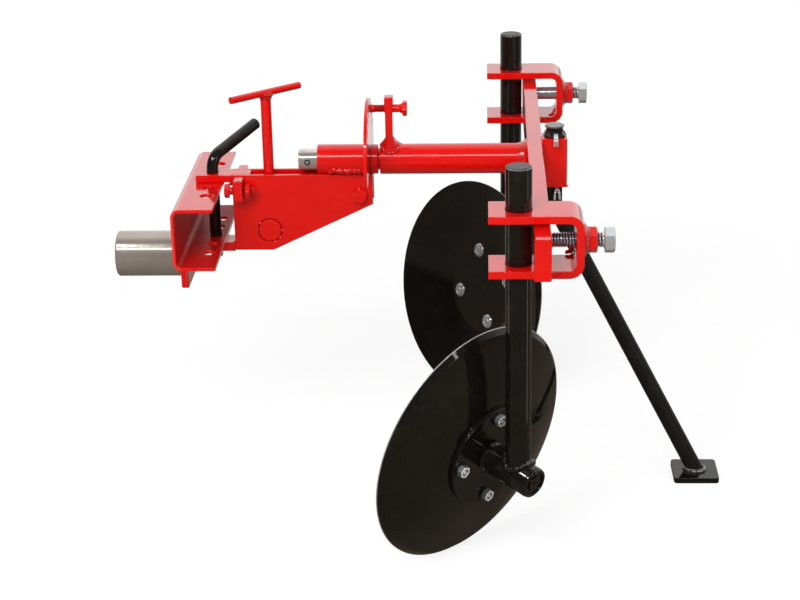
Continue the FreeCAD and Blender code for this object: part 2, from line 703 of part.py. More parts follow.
# ---------------------------------------------------------------- posts, hubs and discs
ball = s["disc_curve"]
flat_depth = math.sqrt(ball ** 2 - s["disc_flat"] ** 2)
rim_depth = math.sqrt(ball ** 2 - s["disc_radius"] ** 2)
bevel_depth = math.sqrt(ball ** 2 - (s["disc_radius"] - s["disc_bevel"]) ** 2)
for side, sign, clock in (("near", -1, 0.0), ("far", 1, 24.0)):
    post_y = ("-" if sign < 0 else "") + "post_spacing / 2"
    yaw = math.radians(s[side + "_yaw"])
    tilt = math.radians(s["disc_tilt"])
    outward = Vector(
        math.sin(yaw) * math.cos(tilt), sign * math.cos(yaw) * math.cos(tilt), -math.sin(tilt)
    )
    level = Vector(0, 0, 1).cross(outward)
    level.normalize()
    upward = outward.cross(level)
    aim = Rotation(level, upward, outward, "ZXY")
    hub = Vector(
        centre - (s["post_dia"] / 2 + s["post_gap"]), sign * s["post_spacing"] / 2,
        floor_lift - s["hub_down"],
    )

    def along_hub(obj, distance):
        """Place an object on the disc axis, a distance outward of the post axis."""
        obj.Placement = FreeCAD.Placement(hub + outward * distance, aim)
        return obj

    seat = s["disc_set"]
    tube_in = seat - s["flange_thick"] - s["flange_neck"] - s["bearing_gap"]
    tube_length = "bearing_out + disc_set - flange_thick - flange_neck - bearing_gap"

    post_full = rod(
        "post_dia / 2", "post_top + hub_down", post_x, post_y, "floor_lift - hub_down"
    )
    tube_tool = doc.addObject("Part::Cylinder", "post_notch")
    bind(tube_tool, Radius="bearing_dia / 2 + seat_gap / 3", Height="4 * bearing_dia")
    along_hub(tube_tool, -2 * s["bearing_dia"])
    node(cut(post_full, tube_tool), side + "_post")

    shell = doc.addObject("Part::Cylinder", "bearing_shell")
    bind(shell, Radius="bearing_dia / 2", Height=tube_length)
    along_hub(shell, -tube_in)
    bore = doc.addObject("Part::Cylinder", "bearing_bore")
    bind(bore, Radius="spindle_dia / 2 + fit_gap", Height=tube_length)
    along_hub(bore, -tube_in)
    node(cut(shell, bore), side + "_bearing_tube")

    cap = doc.addObject("Part::Cylinder", "bearing_cap")
    bind(cap, Radius="bearing_dia / 2 - 1", Height="bearing_cap")
    along_hub(cap, s["bearing_out"])
    node(cap, side + "_bearing_cap")

    spindle = doc.addObject("Part::Cylinder", "disc_spindle")
    bind(spindle, Radius="spindle_dia / 2", Height=tube_length + " - 3")
    along_hub(spindle, -(seat - s["flange_thick"] - s["flange_neck"]))
    neck = doc.addObject("Part::Cylinder", "flange_neck")
    bind(neck, Radius="bearing_dia / 2 - 4", Height="flange_neck")
    along_hub(neck, -(seat - s["flange_thick"]))
    disk = doc.addObject("Part::Cylinder", "flange_disk")
    bind(disk, Radius="flange_radius", Height="flange_thick")
    along_hub(disk, -seat)
    node(fuse(spindle, neck, disk), side + "_disc_flange")

    # the disc is turned about its own Z with its seat at the top of the blank
    blank = doc.addObject("Part::Cylinder", "disc_blank")
    bind(blank, Radius="disc_radius", Height="disc_blank")
    ball_outer = doc.addObject("Part::Sphere", "disc_ball")
    bind(ball_outer, Radius="disc_curve")
    ball_outer.Placement = FreeCAD.Placement(Vector(0, 0, s["disc_blank"] - flat_depth), Rotation())
    bevel = doc.addObject("Part::Cone", "disc_bevel")
    edge_z = s["disc_blank"] - flat_depth + rim_depth - s["disc_thick"] + s["disc_edge"]
    slope = (s["disc_blank"] - flat_depth + bevel_depth - edge_z) / s["disc_bevel"]
    bevel.Radius1 = s["disc_radius"] + edge_z / slope
    bevel.Radius2 = s["disc_radius"] - (s["disc_blank"] - edge_z) / slope
    bind(bevel, Height="disc_blank")
    hollow = doc.addObject("Part::Cylinder", "disc_hollow")
    bind(hollow, Radius="disc_radius + 5", Height="disc_blank - disc_thick")
    ball_inner = doc.addObject("Part::Sphere", "disc_ball_inner")
    bind(ball_inner, Radius="disc_curve")
    ball_inner.Placement = FreeCAD.Placement(
        Vector(0, 0, s["disc_blank"] - flat_depth - s["disc_thick"]), Rotation()
    )
    disc = cut(common(common(blank, ball_outer), bevel), common(hollow, ball_inner))
    disc.Placement = FreeCAD.Placement(
        hub - outward * (seat + s["disc_blank"]), aim.multiply(Rotation(Z_AXIS, clock))
    )
    node(disc, side + "_disc")

# ---------------------------------------------------------------- stand
rod_x = "(bar_thick + socket_size / 2)"
socket = cut(
    box(
        "socket_size", "socket_size", "socket_top + socket_low", "bar_thick", "-socket_size / 2",
        "floor_lift - socket_low",
    ),
    rod("stand_dia / 2 + fit_gap", "socket_top + socket_low", rod_x, "0", "floor_lift - socket_low"),
)
node(socket, "stand_socket")

foot_x = rod_x + " + leg_reach * cos(leg_swing * 1deg)"
foot_y = "leg_reach * sin(leg_swing * 1deg)"
leg_drop = "(floor_lift - rod_low - foot_thick)"
leg_slant = math.degrees(math.atan2(s["leg_reach"], floor_lift - s["rod_low"] - s["foot_thick"]))
upright = rod("stand_dia / 2", "rod_top + rod_low", rod_x, "0", "floor_lift - rod_low")
knee = doc.addObject("Part::Sphere", "stand_knee")
bind(knee, Radius="stand_dia / 2")
put(knee, rod_x, "0", "floor_lift - rod_low")
leg = doc.addObject("Part::Cylinder", "leg_bar")
bind(leg, Radius="stand_dia / 2", Height="sqrt(leg_reach ^ 2 + %s ^ 2) + stand_dia" % leg_drop)
leg_aim = Rotation(Z_AXIS, s["leg_swing"]).multiply(Rotation(Y_AXIS, 180 - leg_slant))
put(leg, rod_x, "0", "floor_lift - rod_low", leg_aim)
floor_cut = box(
    "4 * foot_long", "4 * foot_wide", "4 * foot_thick + stand_dia", foot_x + " - 2 * foot_long",
    foot_y + " - 2 * foot_wide", "foot_thick + seat_gap / 3 - (4 * foot_thick + stand_dia)",
)
node(cut(fuse(upright, knee, leg), floor_cut), "stand_leg")

foot = box(
    "foot_long", "foot_wide", "foot_thick", foot_x + " - foot_long / 2", foot_y + " - foot_wide / 2", "0"
)
node(foot, "stand_foot")

ring = cut(
    rod("ring_dia / 2", "ring_high", rod_x, "0", "floor_lift + socket_top + index_gap"),
    rod("stand_dia / 2 + seat_gap / 3", "ring_high", rod_x, "0", "floor_lift + socket_top + index_gap"),
)
node(ring, "stand_ring")

# ---------------------------------------------------------------- check and write
doc.recompute()
for obj in doc.Objects:
    if "Invalid" in obj.State or "Error" in obj.State:
        raise RuntimeError("%s: %s" % (obj.Label, obj.State))
os.makedirs("parts", exist_ok=True)
for obj in nodes:
    if obj.Shape.isNull() or not obj.Shape.isValid():
        raise RuntimeError("bad shape: " + obj.Label)
    if len(obj.Shape.Solids) != 1:
        raise RuntimeError("%s has %d solids" % (obj.Label, len(obj.Shape.Solids)))
    obj.Shape.exportStep("parts/%s.step" % obj.Label)
    print(obj.Label, round(obj.Shape.Volume), obj.Shape.BoundBox)
print(len(nodes), "pieces, floor lift", floor_lift)
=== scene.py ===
"""Twin disc ridger for a walk-behind tractor: the finished look of every piece.

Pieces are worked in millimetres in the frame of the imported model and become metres
when they are closed.  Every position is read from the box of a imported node.
"""
import functools
import json
import logging
import math
import random
from dataclasses import dataclass, field
from enum import Enum
from typing import Callable, Optional, Sequence

import bmesh
import bpy
from mathutils import Matrix, Vector
from mathutils.geometry import delaunay_2d_cdt
from mathutils.noise import noise


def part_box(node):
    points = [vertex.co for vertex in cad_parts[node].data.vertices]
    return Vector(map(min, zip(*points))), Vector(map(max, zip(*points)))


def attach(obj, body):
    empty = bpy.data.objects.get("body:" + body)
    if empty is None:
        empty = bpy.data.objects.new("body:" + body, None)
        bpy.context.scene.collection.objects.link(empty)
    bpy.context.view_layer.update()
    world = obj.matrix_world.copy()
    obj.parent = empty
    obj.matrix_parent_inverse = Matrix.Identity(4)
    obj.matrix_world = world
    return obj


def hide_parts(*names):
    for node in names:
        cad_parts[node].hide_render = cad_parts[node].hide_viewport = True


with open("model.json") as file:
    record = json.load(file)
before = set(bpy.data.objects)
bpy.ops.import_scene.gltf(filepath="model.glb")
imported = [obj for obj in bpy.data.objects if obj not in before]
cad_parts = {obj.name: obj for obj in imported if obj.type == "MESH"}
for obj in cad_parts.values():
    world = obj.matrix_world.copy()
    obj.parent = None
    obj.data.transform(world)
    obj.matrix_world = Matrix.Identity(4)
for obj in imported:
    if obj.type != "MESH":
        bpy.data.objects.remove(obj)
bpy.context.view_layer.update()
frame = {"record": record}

logging.basicConfig(level=logging.INFO, format="%(message)s")
LOG = logging.getLogger("ridger")

MM = 0.001
FIT = 0.1  # play between a shaft and its bore, in millimetres
PIN_RADIUS = 10.0  # the hinge pin's own radius
Flat = tuple[float, float]
Colour = tuple[float, float, float]
Place = Callable[[float, float, float], Vector]


class Slot(Enum):
    """Names of the finish slots."""

    RED = "red_paint"
    BLACK = "black_paint"
    ZINC = "zinc"
    STEEL = "turned_steel"


class Side(Enum):
    """Left or right half of the machine, with the sign of Y on that side."""

    NEAR = -1
    FAR = 1

    @property
    def word(self) -> str:
        """Prefix of the node names on this side."""
        return self.name.lower()


# ---------------------------------------------------------------- finishes
class Wiring:
    """Short hand for wiring the nodes of a material or a world."""

    def __init__(self, home: bpy.types.Material | bpy.types.World) -> None:
        """Clear a material or a world and give it its first nodes.

        Args:
            home: what the nodes belong to.
        """
        home.use_nodes = True
        self.home, self.tree = home, home.node_tree
        self.tree.nodes.clear()
        world = isinstance(home, bpy.types.World)
        self.out = self.add("ShaderNodeOutputWorld" if world else "ShaderNodeOutputMaterial")
        self.where = self.add("ShaderNodeTexCoord").outputs["Generated" if world else "Object"]

    def add(self, kind: str, **values: object) -> bpy.types.Node:
        """Add a node and set or wire its inputs and properties.

        Args:
            kind: Blender's node type.
            values: value or source of each, where underscores stand for spaces.

        Returns:
            The new node.
        """
        node = self.tree.nodes.new(kind)
        for key, value in values.items():
            name = key.replace("_", " ")
            if isinstance(value, bpy.types.NodeSocket):
                self.link(value, node.inputs[name])
            elif name in node.inputs:
                node.inputs[name].default_value = value
            else:
                setattr(node, key, value)
        return node

    def link(self, source: bpy.types.NodeSocket, target: bpy.types.NodeSocket) -> None:
        """Join two sockets."""
        self.tree.links.new(source, target)

    def surface(self, shader: bpy.types.NodeSocket) -> None:
        """Join a shader to the output."""
        self.link(shader, self.out.inputs["Surface"])

    def grain(self, scale: float, detail: float = 2.0, stretch: Colour = (1, 1, 1)) -> bpy.types.NodeSocket:
        """Noise over the piece's own metres.

        Args:
            scale: how many blotches there are per metre.
            detail: how many finer layers are added.
            stretch: scale along X, Y and Z.

        Returns:
            The noise value socket.
        """
        place = self.add("ShaderNodeMapping", Vector=self.where, Scale=stretch).outputs["Vector"]
        cloud = self.add("ShaderNodeTexNoise", Vector=place, Scale=scale, Detail=detail, Roughness=0.55)
        return cloud.outputs["Fac"]

    def between(self, value: bpy.types.NodeSocket, low: float, high: float, start: float = 0.3,
                end: float = 0.7, manner: str = "LINEAR") -> bpy.types.NodeSocket:
        """Stretch a value from one range to another.

        Args:
            value: the value to stretch.
            low: result at start.
            high: result at end.
            start: where the ramp starts.
            end: where the ramp ends.
            manner: Blender's word for the ramp's shape.

        Returns:
            The stretched value socket.
        """
        ramp = self.add("ShaderNodeMapRange", interpolation_type=manner, Value=value, From_Min=start,
                        From_Max=end, To_Min=low, To_Max=high)
        return ramp.outputs["Result"]

    def blend(self, part: bpy.types.NodeSocket, first: Colour | bpy.types.NodeSocket,
              second: Colour) -> bpy.types.NodeSocket:
        """Mix two colours by a value.

        Args:
            part: share of the second colour.
            first: colour at 0, or where it comes from.
            second: colour at 1.

        Returns:
            The mixed colour socket.
        """
        mix = self.add("ShaderNodeMix", data_type="RGBA", Factor=part)
        if isinstance(first, bpy.types.NodeSocket):
            self.link(first, mix.inputs[6])
        else:
            mix.inputs[6].default_value = (*first, 1)
        mix.inputs[7].default_value = (*second, 1)
        return mix.outputs[2]

    def sum(self, operation: str, first: bpy.types.NodeSocket,
            second: bpy.types.NodeSocket) -> bpy.types.NodeSocket:
        """Work out one value from two.

        Args:
            operation: Blender's word for the sum.
            first: the first value.
            second: the second value.

        Returns:
            The value socket.
        """
        node = self.add("ShaderNodeMath", operation=operation)
        self.link(first, node.inputs[0])
        self.link(second, node.inputs[1])
        return node.outputs[0]

    def seen(self) -> bpy.types.NodeSocket:
        """One for camera, mirror and glass rays, and nothing for the rest.

        Returns:
            The value socket.
        """
        path = self.add("ShaderNodeLightPath").outputs
        most = self.sum("MAXIMUM", path["Is Camera Ray"], path["Is Glossy Ray"])
        return self.sum("MAXIMUM", most, path["Is Transmission Ray"])

    def either(self, part: bpy.types.NodeSocket, first: bpy.types.Node,
               second: bpy.types.Node) -> bpy.types.NodeSocket:
        """Mix two shaders by a value.

        Args:
            part: share of the second shader.
            first: shader at 0.
            second: shader at 1.

        Returns:
            The mixed shader socket.
        """
        mix = self.add("ShaderNodeMixShader")
        for source, target in zip((part, first.outputs[0], second.outputs[0]), mix.inputs):
            self.link(source, target)
        return mix.outputs[0]

    def relief(self, parts: Sequence[tuple[bpy.types.NodeSocket, float]]) -> Optional[bpy.types.NodeSocket]:
        """Stack bumps, each with its height in metres.

        Args:
            parts: pairs of a height value and its depth in metres.

        Returns:
            The bent normal socket.
        """
        normal = None
        for value, depth in parts:
            bump = self.add("ShaderNodeBump", Strength=1.0, Distance=depth, Height=value)
            if normal is not None:
                self.link(normal, bump.inputs["Normal"])
            normal = bump.outputs["Normal"]
        return normal


@dataclass(frozen=True)
class Enamel:
    """Sprayed gloss enamel: orange peel, faint clouding and thin dust."""

    name: str
    colour: Colour
    deep: Colour
    gloss: float = 0.10
    clear: float = 1.0
    index: float = 1.45
    under: float = 0.5
    peel: float = 0.00003
    dust: Colour = (0.30, 0.26, 0.22)
    dust_share: float = 0.02
    sag: float = 0.0006

    def material(self) -> bpy.types.Material:
        """Wire the material.

        Returns:
            The enamel.
        """
        wires = Wiring(bpy.data.materials.new(self.name))
        clouds = wires.between(wires.grain(14.0, 4.0), 0.0, 1.0)
        paint = wires.blend(clouds, self.colour, self.deep)
        specks = wires.between(wires.grain(90.0, 6.0), 0.0, self.dust_share, 0.52, 0.75)
        rough = wires.between(wires.grain(30.0, 5.0), self.gloss, self.gloss + 0.10)
        normal = wires.relief(((wires.grain(6.0, 1.0), self.sag), (wires.grain(260.0, 2.0), self.peel)))
        body = wires.add(
            "ShaderNodeBsdfPrincipled", Base_Color=wires.blend(specks, paint, self.dust), Roughness=rough,
            IOR=self.index, Specular_IOR_Level=self.under, Normal=normal, Coat_Weight=self.clear,
            Coat_Roughness=0.04, Coat_IOR=self.index, Coat_Normal=normal,
        )
        wires.surface(body.outputs["BSDF"])
        return wires.home


@dataclass(frozen=True)
class Metal:
    """Bare or plated metal with tool marks, stains and a fine grain."""

    name: str
    colour: Colour
    stain: Colour
    metallic: float = 1.0
    rough: float = 0.22
    spread: float = 0.18
    mottle: float = 40.0
    marks: float = 0.0
    marks_step: float = 0.5
    pits: float = 0.00002

    def material(self) -> bpy.types.Material:
        """Wire the material.

        Returns:
            The metal.
        """
        wires = Wiring(bpy.data.materials.new(self.name))
        stains = wires.between(wires.grain(self.mottle, 5.0), 0.0, 1.0, 0.35, 0.75)
        streaks = wires.grain(self.mottle * 6, 3.0, (1.0, 0.15, 0.15) if self.marks else (1, 1, 1))
        layers = [(wires.grain(700.0, 3.0), self.pits)]
        if self.marks:
            wave = wires.add(
                "ShaderNodeTexWave", bands_direction="X", Vector=wires.where,
                Scale=0.314 / (self.marks_step * MM), Distortion=0.6, Detail=1.0, Detail_Scale=3.0,
            )
            layers.append((wave.outputs["Fac"], self.marks))
        body = wires.add(
            "ShaderNodeBsdfPrincipled", Base_Color=wires.blend(stains, self.colour, self.stain),
            Metallic=self.metallic, Roughness=wires.between(streaks, self.rough, self.rough + self.spread),
            Normal=wires.relief(layers),
        )
        wires.surface(body.outputs["BSDF"])
        return wires.home


Finish = Enamel | Metal

RED = Enamel("red_enamel", (0.78, 0.0045, 0.0025), (0.70, 0.003, 0.002), index=1.39, dust_share=0.012)
# Darker, duller red for the channel's inside faces: painted shade in the recess.
RED_PAINTED_SHADE = Enamel(
    "thin_red_enamel", (0.56, 0.0035, 0.0022), (0.46, 0.003, 0.002), gloss=0.36, clear=0.06, index=1.36,
    under=0.18, peel=0.00008,
)
RED_WELD = Enamel("red_enamel_on_weld", (0.72, 0.005, 0.003), (0.50, 0.003, 0.002), peel=0.00012)
BLACK = Enamel(
    "black_enamel", (0.0082, 0.0068, 0.0052), (0.005, 0.0043, 0.0034), gloss=0.14, index=1.49, under=0.0,
)
SATIN = Enamel("satin_black", (0.0135, 0.0125, 0.011), (0.009, 0.0082, 0.007), gloss=0.42, clear=0.14,
               index=1.49, under=0.1)
BLACK_WELD = Enamel("black_enamel_on_weld", (0.009, 0.008, 0.007), (0.004, 0.004, 0.004), peel=0.00012,
                    under=0.3)
ZINC = Metal("zinc_plate", (0.86, 0.90, 0.91), (0.74, 0.78, 0.79), metallic=0.74, rough=0.16, spread=0.05,
             mottle=22.0, pits=0.0)
ZINC_BLUE = Metal("blue_zinc_plate", (0.74, 0.82, 0.88), (0.58, 0.65, 0.70), metallic=0.74, rough=0.12,
                  spread=0.06, pits=0.0)
STEEL = Metal(
    "turned_steel", (0.53, 0.475, 0.41), (0.44, 0.39, 0.335), metallic=0.62, rough=0.14, spread=0.05,
    mottle=14.0, marks=0.000002, marks_step=0.45, pits=0.0,
)
BARE_WELD = Metal("bare_weld", (0.36, 0.35, 0.33), (0.16, 0.15, 0.14), rough=0.30, mottle=160.0, pits=0.0002)
# Zinc darkened for the nut flats as painted shade, and whitened for the nut faces and bolt ends as painted
# highlight: lit and shaded copies of one plating.
NUT_PAINTED_SHADE = Metal("nut_flats", (0.36, 0.39, 0.39), (0.24, 0.26, 0.26), metallic=0.8, rough=0.2, mottle=20.0,
            pits=0.0)
NUT_FACE_PAINTED_HIGHLIGHT = Metal("nut_face", (0.93, 0.95, 0.94), (0.76, 0.79, 0.78), metallic=0.3, rough=0.17, mottle=20.0,
                 pits=0.0)
# Pale band round each disc's rim: a painted highlight.
RIM_PAINTED_HIGHLIGHT = Metal("ground_rim", (0.62, 0.60, 0.56), (0.48, 0.46, 0.43), metallic=0.7, rough=0.3, mottle=30.0,
               pits=0.0)
DOME = Metal("dull_zinc", (0.68, 0.73, 0.72), (0.53, 0.57, 0.565), metallic=0.76, rough=0.15, spread=0.06,
             mottle=20.0, pits=0.0)
# Beaten bare steel: real burrs on the stand cap, and partly a painted highlight on the post-top chamfers.
BURR_AND_PAINTED_HIGHLIGHT = Metal("beaten_steel", (0.46, 0.45, 0.43), (0.20, 0.19, 0.18), rough=0.34, mottle=300.0, pits=0.0001)
SHEEN = Metal(
    "bright_shaft", (0.84, 0.785, 0.73), (0.70, 0.65, 0.60), metallic=0.80, rough=0.13, spread=0.08,
    mottle=60.0, marks=0.000004, marks_step=0.6, pits=0.000003,
)
# Grey for the post tops: partly wear, partly painted light for the light falling on the top face.
TOP_WEAR_AND_PAINTED_LIGHT = Metal("rubbed_black", (0.17, 0.16, 0.145), (0.08, 0.075, 0.07), rough=0.36, mottle=140.0)
# Near-black for thread grooves and for the ring inside each disc nut: painted shade in the recesses.
ROOT_PAINTED_SHADE = Metal("thread_root", (0.045, 0.052, 0.062), (0.02, 0.022, 0.026), metallic=0.6, rough=0.3, pits=0.0)
# Dark rubbed black: real wear where the strap grips a post, and painted shade round the spring pin ends.
WEAR_AND_PAINTED_SHADE = Metal("worn_black", (0.045, 0.042, 0.038), (0.02, 0.018, 0.016), rough=0.35, mottle=120.0)


@functools.cache
def mixed(finish: Finish) -> bpy.types.Material:
    """The one material of a finish, made when it is first asked for."""
    return finish.material()


# ---------------------------------------------------------------- places
@dataclass(frozen=True)
class Span:
    """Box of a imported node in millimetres."""

    low: Vector
    high: Vector

    @property
    def mid(self) -> Vector:
        """Centre of the box."""
        return (self.low + self.high) / 2

    @property
    def size(self) -> Vector:
        """Edge lengths of the box."""
        return self.high - self.low

    def line(self, sign: int = 1) -> "Axis":
        """The centre line along X, from the low end, or for -1 back from the high end."""
        start = self.low.x if sign > 0 else self.high.x
        return Axis.of((start, self.mid.y, self.mid.z), (sign, 0, 0))


@functools.cache
def span(node: str) -> Span:
    """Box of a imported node.

    Args:
        node: the node's name.

    Returns:
        The box in millimetres.
    """
    low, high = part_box(node)
    return Span(low / MM, high / MM)


HOMES: dict[str, str] = {
    node: body for body, members in frame["record"]["behaviour"]["bodies"].items() for node in members
}


@dataclass(frozen=True)
class Axis:
    """A centre line with a clock direction, for turned work."""

    origin: Vector
    along: Vector
    clock: Vector

    @staticmethod
    def of(origin: Sequence[float], along: Sequence[float], clock: Sequence[float] = (0, 0, 1)) -> "Axis":
        """Make an axis and square its clock direction.

        Args:
            origin: a point on the line.
            along: direction of the line.
            clock: direction of angle zero, squared to the line.

        Returns:
            The axis.
        """
        line = Vector(along).normalized()
        hint = Vector(clock)
        hint = hint - line * hint.dot(line)
        if hint.length < 1e-6:
            hint = line.orthogonal()
        return Axis(Vector(origin), line, hint.normalized())

    def at(self, radius: float, angle: float, reach: float) -> Vector:
        """A point beside the line.

        Args:
            radius: distance from the line.
            angle: turn from the clock direction.
            reach: distance along the line.

        Returns:
            The point.
        """
        across = self.along.cross(self.clock)
        return (
            self.origin + self.along * reach
            + self.clock * (radius * math.cos(angle)) + across * (radius * math.sin(angle))
        )

    def moved(self, reach: float) -> "Axis":
        """The same line with its origin further along."""
        return Axis(self.origin + self.along * reach, self.along, self.clock)

    def turned(self, angle: float) -> "Axis":
        """The same line with its clock turned.

        Args:
            angle: the turn in degrees.

        Returns:
            The turned axis.
        """
        turn = math.radians(angle)
        across = self.along.cross(self.clock)
        return Axis(self.origin, self.along, self.clock * math.cos(turn) + across * math.sin(turn))


def soft(corners: Sequence[Sequence[float]], size: float, closed: bool = False, steps: int = 4) -> list[Flat]:
    """Round the corners of a flat line.

    Args:
        corners: points, each with an optional third number for its own rounding.
        size: rounding of the other corners.
        closed: whether the last point joins the first.
        steps: points along each rounding.

    Returns:
        The rounded line.
    """
    out: list[Flat] = []
    count = len(corners)
    for index, corner in enumerate(corners):
        here = Vector(corner[:2])
        want = corner[2] if len(corner) > 2 else size
        if want <= 0 or (not closed and index in (0, count - 1)):
            out.append((here.x, here.y))
            continue
        before = Vector(corners[index - 1][:2]) - here
        after = Vector(corners[(index + 1) % count][:2]) - here
        bend = math.pi - before.angle(after, math.pi)
        if bend < 0.02:
            out.append((here.x, here.y))
            continue
        reach = min(want * math.tan(bend / 2), 0.49 * before.length, 0.49 * after.length)
        start, end = here + before.normalized() * reach, here + after.normalized() * reach
        for step in range(steps + 1):
            part = step / steps
            spot = start.lerp(here, part).lerp(here.lerp(end, part), part)
            out.append((spot.x, spot.y))
    return out


def turns(steps: int) -> list[float]:
    """Equal steps round a circle, as angles."""
    return [2 * math.pi * i / steps for i in range(steps)]


def circle(across: float, up: float, radius: float, steps: int = 48) -> list[Flat]:
    """A round hole outline."""
    return [(across + radius * math.cos(a), up + radius * math.sin(a)) for a in turns(steps)]


def block(left: float, low: float, right: float, high: float, size: float) -> list[Flat]:
    """A rectangle with rounded corners."""
    return soft([(left, low), (right, low), (right, high), (left, high)], size, closed=True)


def area(loop: Sequence[Flat]) -> float:
    """Signed area of a flat loop, positive anticlockwise."""
    return sum(ax * by - bx * ay for (ax, ay), (bx, by) in zip(loop, [*loop[1:], loop[0]])) / 2


def inset(loop: Sequence[Flat], depth: float) -> list[Flat]:
    """Move a loop to its left by a depth, with mitred corners.

    Args:
        loop: the loop's points.
        depth: how far it moves.

    Returns:
        The moved loop, point for point.
    """
    out: list[Flat] = []
    count = len(loop)
    for index in range(count):
        here = Vector(loop[index])
        arrive = (here - Vector(loop[index - 1])).normalized()
        leave = (Vector(loop[(index + 1) % count]) - here).normalized()
        first, second = Vector((-arrive.y, arrive.x)), Vector((-leave.y, leave.x))
        both = first + second
        moved = here + both * (depth / max(0.35, 1 + first.dot(second)))
        out.append((moved.x, moved.y))
    return out


def inside(spot: Vector, loop: Sequence[Flat]) -> bool:
    """Whether a point lies within a loop.

    Args:
        spot: the point.
        loop: the loop's points.

    Returns:
        True within the loop.
    """
    odd = False
    for (ax, ay), (bx, by) in zip(loop, [*loop[1:], loop[0]]):
        if (ay > spot.y) != (by > spot.y) and spot.x < (bx - ax) * (spot.y - ay) / (by - ay) + ax:
            odd = not odd
    return odd


def rounded_path(points: Sequence[Vector], radius: float, steps: int = 12) -> list[Vector]:
    """A path in space whose corners are arcs.

    Args:
        points: the path's corners.
        radius: bend radius at every inner corner.
        steps: points along each arc.

    Returns:
        The path.
    """
    out = [points[0].copy()]
    for index in range(1, len(points) - 1):
        here = points[index]
        back, on = points[index - 1] - here, points[index + 1] - here
        bend = math.pi - back.angle(on)
        if bend < 0.01:
            out.append(here.copy())
            continue
        reach = min(radius * math.tan(bend / 2), 0.49 * back.length, 0.49 * on.length)
        true_radius = reach / math.tan(bend / 2)
        start = here + back.normalized() * reach
        hinge = here + (back.normalized() + on.normalized()).normalized() * (true_radius / math.cos(bend / 2))
        spoke = start - hinge
        turn_axis = back.cross(on).normalized()
        for step in range(steps + 1):
            out.append(hinge + Matrix.Rotation(-bend * step / steps, 3, turn_axis) @ spoke)
    out.append(points[-1].copy())
    return out


@dataclass(frozen=True)
class Fold:
    """A sheet's cross-section: straight runs joined by equal left-hand bends.

    The sheet's inner face follows the line; its thickness lies to the right.
    """

    start: Flat
    heading: float
    runs: tuple[float, ...]
    radius: float
    bend: float = 90.0
    steps: int = 8

    @property
    def arc(self) -> float:
        """Length of one bend along the inner face."""
        return math.radians(self.bend) * self.radius

    @property
    def length(self) -> float:
        """Length of the whole inner face."""
        return sum(self.runs) + self.arc * (len(self.runs) - 1)

    def stations(self) -> list[float]:
        """Where the sheet is divided for its bends.

        Returns:
            Distances along the inner face.
        """
        marks, reach = [], 0.0
        for run in self.runs[:-1]:
            reach += run
            marks += [reach + self.arc * i / self.steps for i in range(self.steps + 1)]
            reach += self.arc
        return marks

    def at(self, reach: float, depth: float) -> Flat:
        """The point at a distance along the sheet and a depth into it.

        Args:
            reach: distance along the inner face.
            depth: distance outward from the inner face.

        Returns:
            The point in the plane of the section.
        """
        spot, heading = Vector(self.start), math.radians(self.heading)
        for index, run in enumerate(self.runs):
            ahead = Vector((math.cos(heading), math.sin(heading)))
            right = Vector((ahead.y, -ahead.x))
            if reach <= run or index == len(self.runs) - 1:
                end = spot + ahead * reach + right * depth
                return end.x, end.y
            spot, reach = spot + ahead * run, reach - run
            hinge = spot - right * self.radius
            if reach <= self.arc:
                turn = heading + reach / self.radius
                right = Vector((math.sin(turn), -math.cos(turn)))
                end = hinge + right * (self.radius + depth)
                return end.x, end.y
            heading += math.radians(self.bend)
            spot = hinge + Vector((math.sin(heading), -math.cos(heading))) * self.radius
            reach -= self.arc
        return spot.x, spot.y

    def sheet(self, half: float, middle: float, corner: float) -> tuple[list[Flat], Place]:
        """The flat sheet that is bent into this section.

        Args:
            half: half the sheet's width, which lies along Y.
            middle: middle of its width.
            corner: rounding of its corners.

        Returns:
            The sheet's outline, and what folds a point of it.
        """
        marks, end = self.stations(), self.length
        outline = [(0, -half, corner), *((mark, -half, 0) for mark in marks), (end, -half, corner)]
        outline += [(end, half, corner), *((mark, half, 0) for mark in reversed(marks)), (0, half, corner)]

        def place(u: float, v: float, w: float) -> Vector:
            """Fold one point of the sheet."""
            x, z = self.at(u, w)
            return Vector((x, middle + v, z))

        return soft(outline, 0, closed=True), place


